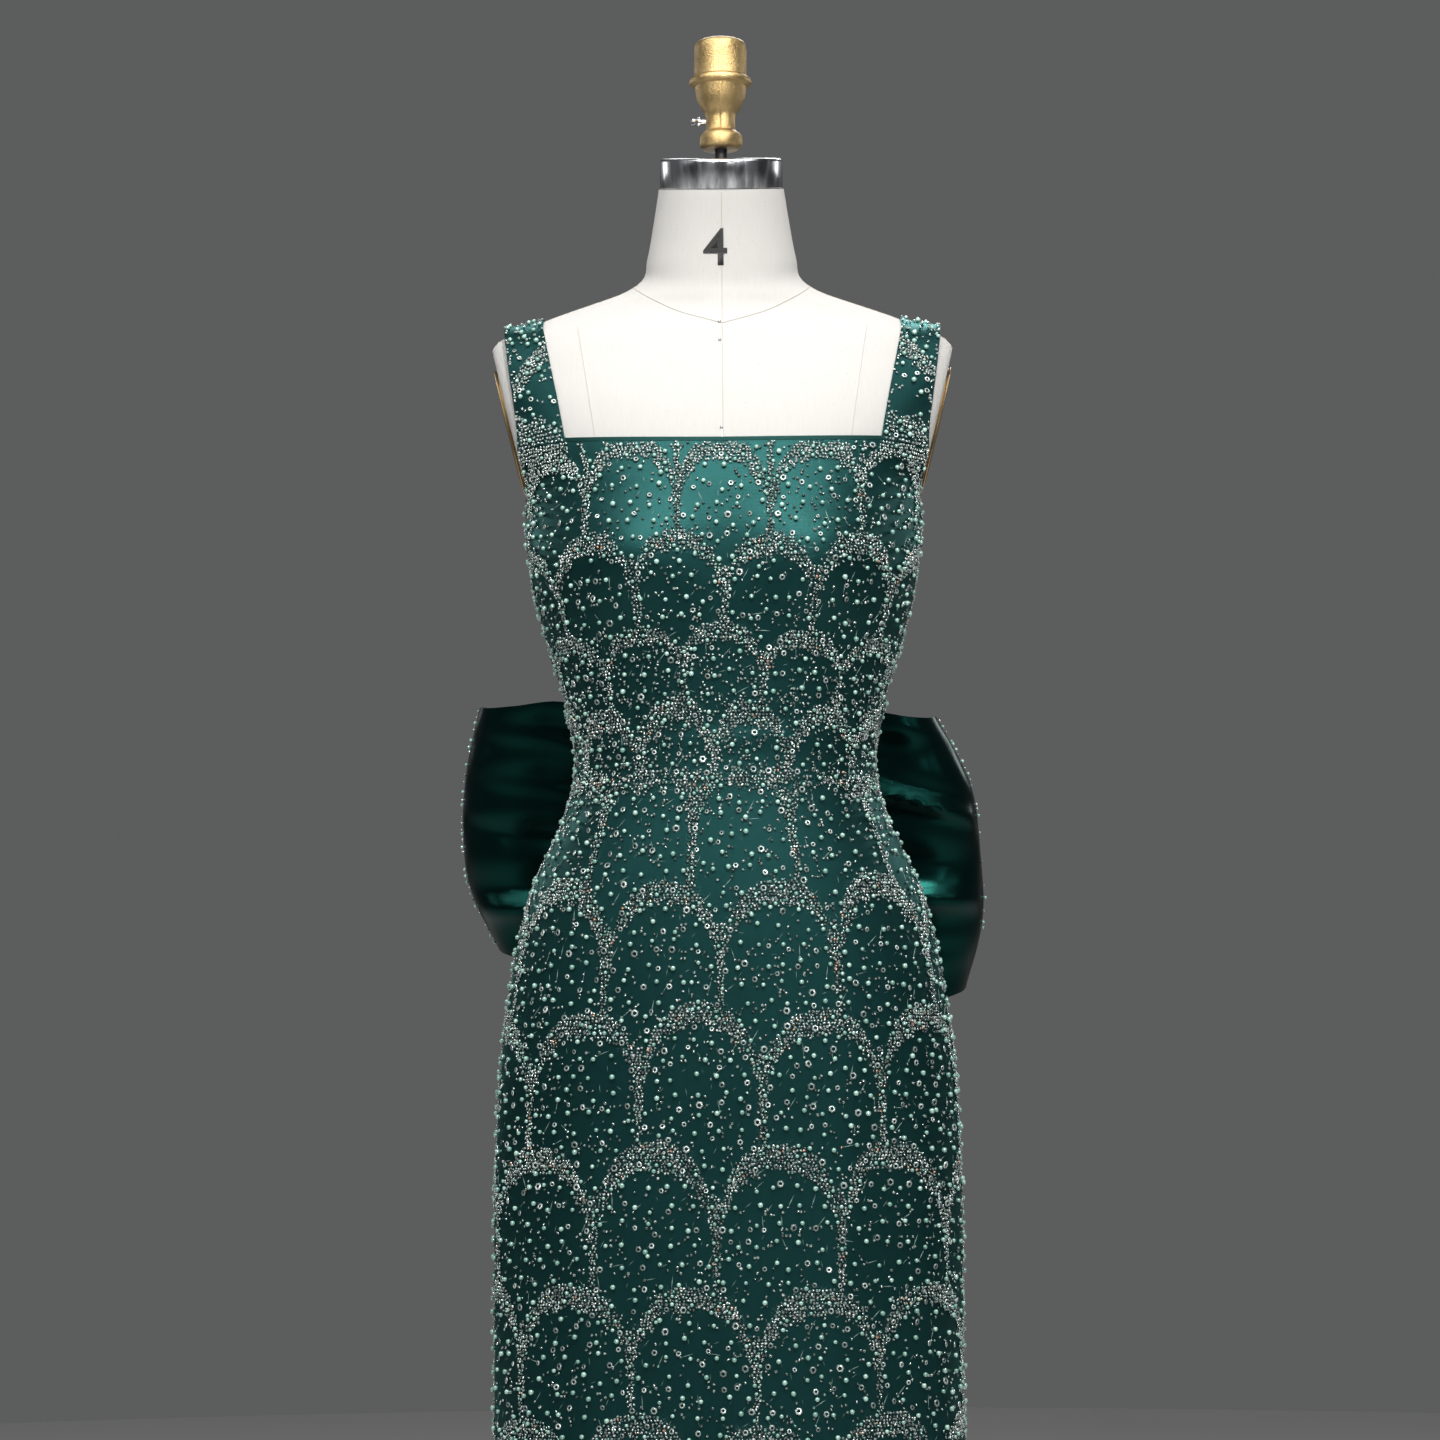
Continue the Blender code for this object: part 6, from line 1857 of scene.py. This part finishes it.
def bead_shape(tree, kind):
    """The mesh of one bead, about one unit in radius and standing on Z."""
    if kind == "ring":
        ring = result(tree, "GeometryNodeCurvePrimitiveCircle", Resolution=6, Radius=0.68)
        wire = result(tree, "GeometryNodeCurvePrimitiveCircle", Resolution=3, Radius=0.34)
        shape = result(tree, "GeometryNodeCurveToMesh", Curve=ring, Profile_Curve=wire)
    else:
        sides, rows = (5, 2) if kind == "seed" else (7, 3)
        ball = result(tree, "GeometryNodeMeshUVSphere", Segments=sides, Rings=rows, Radius=1.0)
        place = add_node(tree, "ShaderNodeSeparateXYZ", _0=result(tree, "GeometryNodeInputPosition"))
        shape = result(tree, "GeometryNodeStoreNamedAttribute", {"data_type": "FLOAT", "domain": "POINT"},
                       Geometry=ball, Name="rise", Value=place.outputs[2])
    return result(tree, "GeometryNodeSetShadeSmooth", _0=shape)


def make_bead_tree(kind):
    """A tree that puts one kind of bead on every point."""
    def lay_beads(tree, start):
        size, shine = point_value(tree, "size"), point_value(tree, "shine")
        upright = aligned(tree, "Z", point_value(tree, "way", "FLOAT_VECTOR"))
        most = vector_maths(tree, "SCALE", (1.0, 1.0, 6.3), Scale=start["Tilt"])
        lean = result(tree, "FunctionNodeRandomValue", {"data_type": "FLOAT_VECTOR"},
                      _0=vector_maths(tree, "SCALE", most, Scale=-1.0), _1=most, Seed=start["Seed"])
        tilted = result(tree, "FunctionNodeRotateRotation", {"rotation_space": "LOCAL"},
                        _0=upright, _1=lean)
        flat = result(tree, "ShaderNodeCombineXYZ", _0=size, _1=size, _2=times(tree, size, start["Squash"]))
        placed = result(tree, "GeometryNodeInstanceOnPoints", Points=start["Geometry"],
                        Instance=bead_shape(tree, kind), Rotation=tilted, Scale=flat)
        # Beads on the chest are lifted to bright tones, as painted light; dull beads lose the brightest
        # ones.
        lowest = times(tree, maths(tree, "MAXIMUM", shine, 0.0), PAINTED_LIGHT_SHARE)
        cut = times(tree, maths(tree, "ABSOLUTE", shine), DULL_SHARE)
        tone = add_node(tree, "FunctionNodeRandomValue", {"data_type": "FLOAT"}, _2=lowest,
                        _3=maths(tree, "SUBTRACT", 1.0, cut), Seed=start["Seed"])
        return result(tree, "GeometryNodeStoreNamedAttribute", {"data_type": "FLOAT", "domain": "INSTANCE"},
                      Geometry=placed, Name="tone", Value=tone.outputs[1])

    return instancing_tree("beads " + kind, {"Tilt": 0.5, "Squash": 1.0, "Seed": 1}, lay_beads)


# How each kind is laid. A ring is thin and lies flat, so it sinks the most of its radius.
Kind = namedtuple("Kind", "tree tilt squash stands material")
KINDS = {
    "seeds": Kind(make_bead_tree("seed"), 0.75, 0.75, 0.75, seed_glass),
    "pearls": Kind(make_bead_tree("pearl"), 0.2, 0.92, 0.82, pearl),
    "rings": Kind(make_bead_tree("ring"), 0.35, 0.80, 0.32, ring_metal),
}
SPLIT_Z = 0.62
AREAS = {
    "bodice": (WAIST_Z, 1.4, 0.0, 2.1),
    "hip_front": (SPLIT_Z, WAIST_Z, 0.0, 1.0),
    "hip_back": (SPLIT_Z, WAIST_Z, 1.0, 2.1),
    "hem_front": (0.0, SPLIT_Z, 0.0, 1.0),
    "hem_back": (0.0, SPLIT_Z, 1.0, 2.1),
}
# Above this height on the front, seed beads get bright tones, as painted light.
CHEST_LIGHT_Z = 1.262
CHEST_LIGHT_FADE = 0.020
bead_pieces = {}


def triangles(*pieces):
    """How many triangles some pieces have."""
    return sum(len(p.vertices) - 2 for piece in pieces for p in piece.data.polygons)


def strew(place, kind, points, ways, sizes, seed, dull=0.0):
    """Beads of one kind on points, as one piece. The seed beads on the chest get bright tones, as painted
    light.
    """
    name, made = f"gown_{kind}_{place}", KINDS[kind]
    # Seed beads on the chest get bright tones, as painted light; those on the open ground get dull ones.
    chest_painted_light = np.clip((points[:, 2] - CHEST_LIGHT_Z) / CHEST_LIGHT_FADE, 0.0, 1.0) * (points[:, 1] < 0.0)
    shine = np.where(dull, -1.0, chest_painted_light) if kind == "seeds" else 0.0 * chest_painted_light
    piece = baked(name, made.tree, points, attributes={"way": ways, "size": sizes, "shine": shine},
                  Tilt=made.tilt, Squash=made.squash, Seed=seed, Material=made.material)
    bead_pieces[name] = piece
    print(name, len(points), "beads,", triangles(piece), "triangles")


for kind, beads in (("seeds", seeds), ("pearls", pearls), ("rings", rings)):
    for number, (area, (low, high, near, far)) in enumerate(AREAS.items()):
        turn = np.abs(beads.around)
        inside = (beads.z >= low) & (beads.z < high) & (turn >= near) & (turn < far)
        around, z, size = (values[inside] for values in beads)
        spots, ways = on_cloth(around, z, OUTER_FACE + KINDS[kind].stands * size)
        strew(area, kind, spots, ways, size, number + 11, bead_cover(around, z) < 0.25)

# %% [markdown]
# ## Beads on the straps and along the bow
#
# The straps carry the same beads: slanting bands across them, a fringe at both edges, and
# pearls and rings strewn between. The bow is plain satin, and only its turned edges carry a
# sparse row of beads.
#
# Both use the trees from the last step. Only the way to find the points differs: on a strap
# they are read off its own net, and on a loop off the loop's formula.

# %% Strap beads and bow beads
STRAP_PEARL_STEP, STRAP_PEARL_SIZES = 0.0090, (0.0016, 0.0022)
STRAP_RING_STEP, STRAP_RING_SIZES = 0.0105, (0.0020, 0.0027)
STRAP_RING_GAP = 0.0024
STRAP_SEED_EDGE = 0.0010
BOW_EDGE_SHARE = 0.88
BOW_EDGE_STEP = 0.0048
BOW_BEAD_SIZES = (0.0010, 0.0017)
BOW_PEARL_FROM = 0.00135
BowEdge = namedtuple("BowEdge", "s low high thick_from thin")
BOW_EDGES = {"left": BowEdge(0.535, -0.93, 0.97, -0.93, 1.0),
             "right": BowEdge(0.530, -0.60, 0.97, 0.18, 0.30)}


def strap_places(word, step, chance, edge):
    """Places on a strap, set like bricks. chance is a function of the cover."""
    length = strap_nets[word][-1][-1]
    share, along = [], []
    for row in np.arange(edge, length - edge, step * ROW_STEP):
        across = np.arange(edge + dice.random() * step, STRAP_WIDTH - edge, step)
        share.append((across + dice.normal(0, 0.15 * step, len(across))) / STRAP_WIDTH)
        along.append(row + dice.normal(0, 0.13 * step, len(across)))
    share, along = np.clip(np.concatenate(share), 0.01, 0.99), np.clip(np.concatenate(along), 0.0, length)
    keep = dice.random(len(share)) < chance(strap_cover(word, share, along))
    return share[keep], along[keep]


def by_cover(banded, open_ground):
    """A chance that differs between the bands and the open ground."""
    return lambda cover: np.where(cover > 0.5, banded, open_ground)


def make_strap_beads(word, number):
    """The pearls, rings and seed beads of one strap."""
    pearl_at = strap_places(word, STRAP_PEARL_STEP, by_cover(0.70, 0.50), LARGE_EDGE)
    ring_at = strap_places(word, STRAP_RING_STEP, by_cover(0.20, 0.45), LARGE_EDGE)
    pearl_size = dice.uniform(*STRAP_PEARL_SIZES, len(pearl_at[0]))
    ring_size = dice.uniform(*STRAP_RING_SIZES, len(ring_at[0]))
    pearl_spots, ring_spots = (on_strap(word, *at)[0] for at in (pearl_at, ring_at))
    apart = free_of(ring_spots, pearl_spots, pearl_size + STRAP_RING_GAP)
    large = np.concatenate([pearl_spots, ring_spots[apart]])
    large_size = np.concatenate([pearl_size, ring_size[apart]])
    seed_at = strap_places(word, SEED_SPACING, lambda cover: 0.05 + 0.95 * cover, STRAP_SEED_EDGE)
    keep = free_of(on_strap(word, *seed_at)[0], large, large_size + SEED_GAP)
    seed_size = dice.uniform(*SEED_SIZES, keep.sum())
    laid = {"pearls": (*pearl_at, pearl_size), "rings": [v[apart] for v in (*ring_at, ring_size)],
            "seeds": (*(v[keep] for v in seed_at), seed_size)}
    for kind, (share, along, size) in laid.items():
        points, ways = on_strap(word, share, along, KINDS[kind].stands * size)
        strew("strap_" + word, kind, points, ways, size, number)


def make_bow_beads(word, number):
    """The beads along a loop's turned edge, uneven as they are by hand."""
    edge = BOW_EDGES[word]
    count = int(loop_sizes[word][0] * (edge.high - edge.low) / 2 / BOW_EDGE_STEP)
    t = np.linspace(edge.low, edge.high, count) + dice.normal(0, 0.25 / count, count)
    chance = np.where(t > edge.thick_from, BOW_EDGE_SHARE, BOW_EDGE_SHARE * edge.thin)
    t = np.clip(t[dice.random(count) < chance], -0.97, 0.98)
    s = edge.s + dice.normal(0, 0.008, len(t))
    way = loop_way(word, s, t)
    way *= np.sign(way[:, :1] * LOOPS[word].side)
    size = dice.uniform(*BOW_BEAD_SIZES, len(t))
    points = seated(loop_middle(word, s, t) + way * (BOW_CLOTH / 2 + 0.8 * size)[:, None])
    for kind, part in (("seeds", size < BOW_PEARL_FROM), ("pearls", size >= BOW_PEARL_FROM)):
        strew("bow_" + word, kind, points[part], (way @ BOW_TURN)[part], size[part], number)


for number, word in enumerate(SIDES):
    make_strap_beads(word, 40 + number)
    make_bow_beads(word, 50 + number)

# %% [markdown]
# ## Loose threads between the beads
#
# The open ground is crossed by short stitches that run slantwise, and by longer ones that
# end in a seed bead. Each is a thin spindle of thread, half sunk where it enters the cloth
# at both ends. They repeat hundreds of times, so they are instanced as the beads are. Each
# point brings one attribute more, `along`, for the way that its stitch runs.

# %% Thread stitches
STITCH_SPACING = 0.0160
STITCH_SPACING_HEM = 0.0220
STITCH_LOW_Z, STITCH_TOP_Z = HEM_Z + 0.012, 1.30
STITCH_EDGE = 0.007
STITCH_COVER = 0.6
STITCH_SLANT = (62.0, 34.0)
SHORT_STITCHES = (0.0035, 0.0065)
LONG_STITCHES = (0.0080, 0.0120)
LONG_SHARE = 0.30
STITCH_THICK = 0.034
STITCH_RISE = 0.020
THREAD_END_BEAD = 0.0012
THREAD_END_OUT = 0.0009


def lay_stitches(tree, start):
    """A low arch of thread at every point."""
    spindle = result(tree, "GeometryNodeMeshUVSphere", Segments=4, Rings=2, Radius=1.0)
    thick = start["Thickness"]
    thread = result(tree, "GeometryNodeTransform", Geometry=spindle, Rotation=(0.0, math.pi / 2, 0.0),
                    Translation=result(tree, "ShaderNodeCombineXYZ", _2=start["Rise"]),
                    Scale=result(tree, "ShaderNodeCombineXYZ", _0=thick, _1=thick, _2=0.5))
    upright = aligned(tree, "Z", point_value(tree, "way", "FLOAT_VECTOR"))
    facing = aligned(tree, "X", point_value(tree, "along", "FLOAT_VECTOR"), {"pivot_axis": "Z"},
                     Rotation=upright)
    return result(tree, "GeometryNodeInstanceOnPoints", Points=start["Geometry"], Instance=thread,
                  Rotation=facing, Scale=point_value(tree, "size"))


around, z = brick_places(STITCH_SPACING, STITCH_LOW_Z, STITCH_TOP_Z, STITCH_SPACING_HEM)
keep = on_gown(around, z, STITCH_EDGE) & (bead_cover(around, z) < STITCH_COVER)
around, z = around[keep], z[keep]
long_ones = dice.random(len(z)) < LONG_SHARE
size = np.where(long_ones, dice.uniform(*LONG_STITCHES, len(z)), dice.uniform(*SHORT_STITCHES, len(z)))
slant = np.radians(dice.normal(*STITCH_SLANT, len(z)))
across = 0.5 * size * np.cos(slant) / quarter_length(around, z)
up = 0.5 * size * np.sin(slant)
low, _ = on_cloth(wrapped(around - across), z - up, OUTER_FACE)
high, ways = on_cloth(wrapped(around + across), z + up, OUTER_FACE)
stitch_tree = instancing_tree("thread stitches", {"Thickness": STITCH_THICK, "Rise": STITCH_RISE},
                              lay_stitches)
stitches = baked("gown_thread_stitches", stitch_tree, (low + high) / 2,
                 attributes={"way": ways, "along": high - low, "size": size},
                 Thickness=STITCH_THICK, Rise=STITCH_RISE, Material=bead_thread)
tips = low[long_ones] + ways[long_ones] * THREAD_END_OUT
strew("thread_ends", "seeds", tips, ways[long_ones], np.full(len(tips), THREAD_END_BEAD), 61)
bead_pieces["gown_thread_stitches"] = stitches
print("stitches", len(z), "of which", len(tips), "end in a bead")
print("beads and threads:", triangles(*bead_pieces.values()), "triangles")

# %% [markdown]
# ## What moves with what
#
# Each new piece stands in for a solid of the frame and rides on that solid's body.

# %% Bodies and stand-ins
def ride(piece, *nodes, slot=None, body=GOWN_BODY):
    """Sets a piece's body and hides the nodes that it stands in for. slot is not used."""
    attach(piece, body)
    if nodes:
        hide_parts(*nodes)


for name, piece in panels.items():
    ride(piece, name, slot="gown_satin")
for word in SIDES:
    ride(straps[word], "strap_" + word, slot="gown_satin")
    ride(loops[word], "bow_loop_" + word, slot="bow_satin")
    ride(plates[word][0], "armplate_" + word, slot="cast_brass")
    ride(plates[word][1], slot="cast_brass")
ride(binding, "neck_binding", slot="gown_satin")
ride(knot, "bow_knot", slot="bow_satin")
ride(tape, "back_zip", slot="zip_tape")
ride(teeth, slot="zip_metal")
ride(slider, "zip_slider", slot="zip_metal")
ride(pull, "zip_pull", slot="zip_metal", body=PULL_BODY)
ride(form_body, "form_body", slot="cream_linen")
ride(cap, "neck_cap", slot="polished_steel")
ride(rod, "finial_rod", slot="black_iron")
ride(finial, "finial", slot="cast_brass")
ride(screw[0], "wing_screw", slot="chrome")
ride(screw[1], slot="chrome")
ride(pole, "pole", slot="polished_steel")
ride(base, "base", slot="black_iron")
for piece in bead_pieces.values():
    ride(piece, slot="gown_satin")
for piece in form_seams + [numeral]:
    ride(piece, slot="cream_linen")
for piece in pins:
    ride(piece, slot="chrome")


for name, piece in panels.items():
    on_cloth(*places[name], OUTER_FACE)[0]

# %% [markdown]
# ## The floor, the light and the view
#
# A pale matt floor and a dim pale room show the object plainly. One broad soft light comes
# from in front and above, with another from the top. Weaker ones fill from both sides, and
# three behind draw the edges out. Four small lights give the beads their glitter, which
# broad light alone can't.

# %% Floor, light and camera
def area_light(name, place, target, size, power, colour=(1.0, 1.0, 1.0)):
    """A soft panel of light aimed at a point. size is its width and its height."""
    light = bpy.data.lights.new(name, "AREA")
    light.shape = "RECTANGLE"
    light.size, light.size_y = size
    light.energy = power
    light.color = colour
    obj = link_object(name, light)
    obj.location = place
    obj.rotation_euler = (Vector(target) - Vector(place)).to_track_quat("-Z", "Y").to_euler()


LIGHTS = (
    ("key", (-0.15, -1.55, 2.50), (0.0, 0.0, 1.22), (2.6, 1.0), 24, (1.0, 0.985, 0.965)),
    ("top", (0.0, -0.60, 2.55), (0.0, -0.05, 1.30), (2.2, 0.8), 25, (1.0, 0.99, 0.98)),
    ("fill", (1.6, -2.4, 1.8), (0.0, 0.0, 1.10), (1.0, 1.0), 7, (0.95, 0.98, 1.0)),
    ("side_left", (-2.2, -1.2, 1.9), (0.0, 0.0, 1.20), (0.8, 0.8), 4, (0.97, 0.99, 1.0)),
    ("rim_left", (-1.6, 1.4, 1.9), (0.0, 0.0, 1.2), (0.7, 0.7), 5),
    ("rim_right", (1.7, 1.2, 1.9), (0.0, 0.0, 1.1), (0.7, 0.7), 6),
    ("back", (0.3, 2.3, 3.3), (0.0, 0.0, 1.00), (1.4, 1.0), 34),
    ("glitter_left", (-0.55, -2.4, 1.75), (0.0, 0.0, 1.1), (0.08, 0.08), 5),
    ("glitter_right", (0.65, -2.3, 1.35), (0.0, 0.0, 1.1), (0.08, 0.08), 4),
    ("glitter_high", (0.1, -2.0, 2.5), (0.0, 0.0, 1.2), (0.10, 0.10), 6),
    ("glitter_near", (0.12, -1.15, 2.10), (0.0, -0.1, 1.28), (0.14, 0.14), 15, (1.0, 0.97, 0.93)),
)
# The floor's edge, as radius and height. It ends just under the base.
FLOOR = ((6.0, -0.020), (6.0, -0.0003))
floor_paint, tree, shader = principled("studio_floor", Roughness=0.9)
mottle = noise(tree, in_piece(tree), 3.0)
fill(tree, shader, Base_Color=colour_mix(tree, mottle, (0.80, 0.80, 0.79), (0.84, 0.84, 0.83)))
disc = turned("studio_floor", FLOOR, 96, floor_paint, sharp_degrees=30.0)
for row in LIGHTS:
    area_light(*row)
world = bpy.data.worlds.new("pale_room")
world.use_nodes = True
fill(world.node_tree, world.node_tree.nodes["Background"], Color=(0.90, 0.91, 0.92), Strength=0.12)
bpy.context.scene.world = world
bpy.context.scene.view_settings.view_transform = "Standard"

CAMERA_PLACE = Vector((-0.0038, -2.7, 0.845))
CAMERA_TARGET = Vector((-0.0038, 0.0, 1.0975))
CAMERA_ROLL = Quaternion((0.0, 0.0, 1.0), math.radians(-0.4))
camera = bpy.data.cameras.new("view")
camera.sensor_width = 36.0
camera.lens = 89.4
viewer = link_object("view", camera)
viewer.location = CAMERA_PLACE
aim = (CAMERA_TARGET - CAMERA_PLACE).to_track_quat("-Z", "Y")
viewer.rotation_euler = (aim @ CAMERA_ROLL).to_euler()
bpy.context.scene.camera = viewer
print("lights", len(LIGHTS), "camera at", tuple(round(v, 3) for v in CAMERA_PLACE))
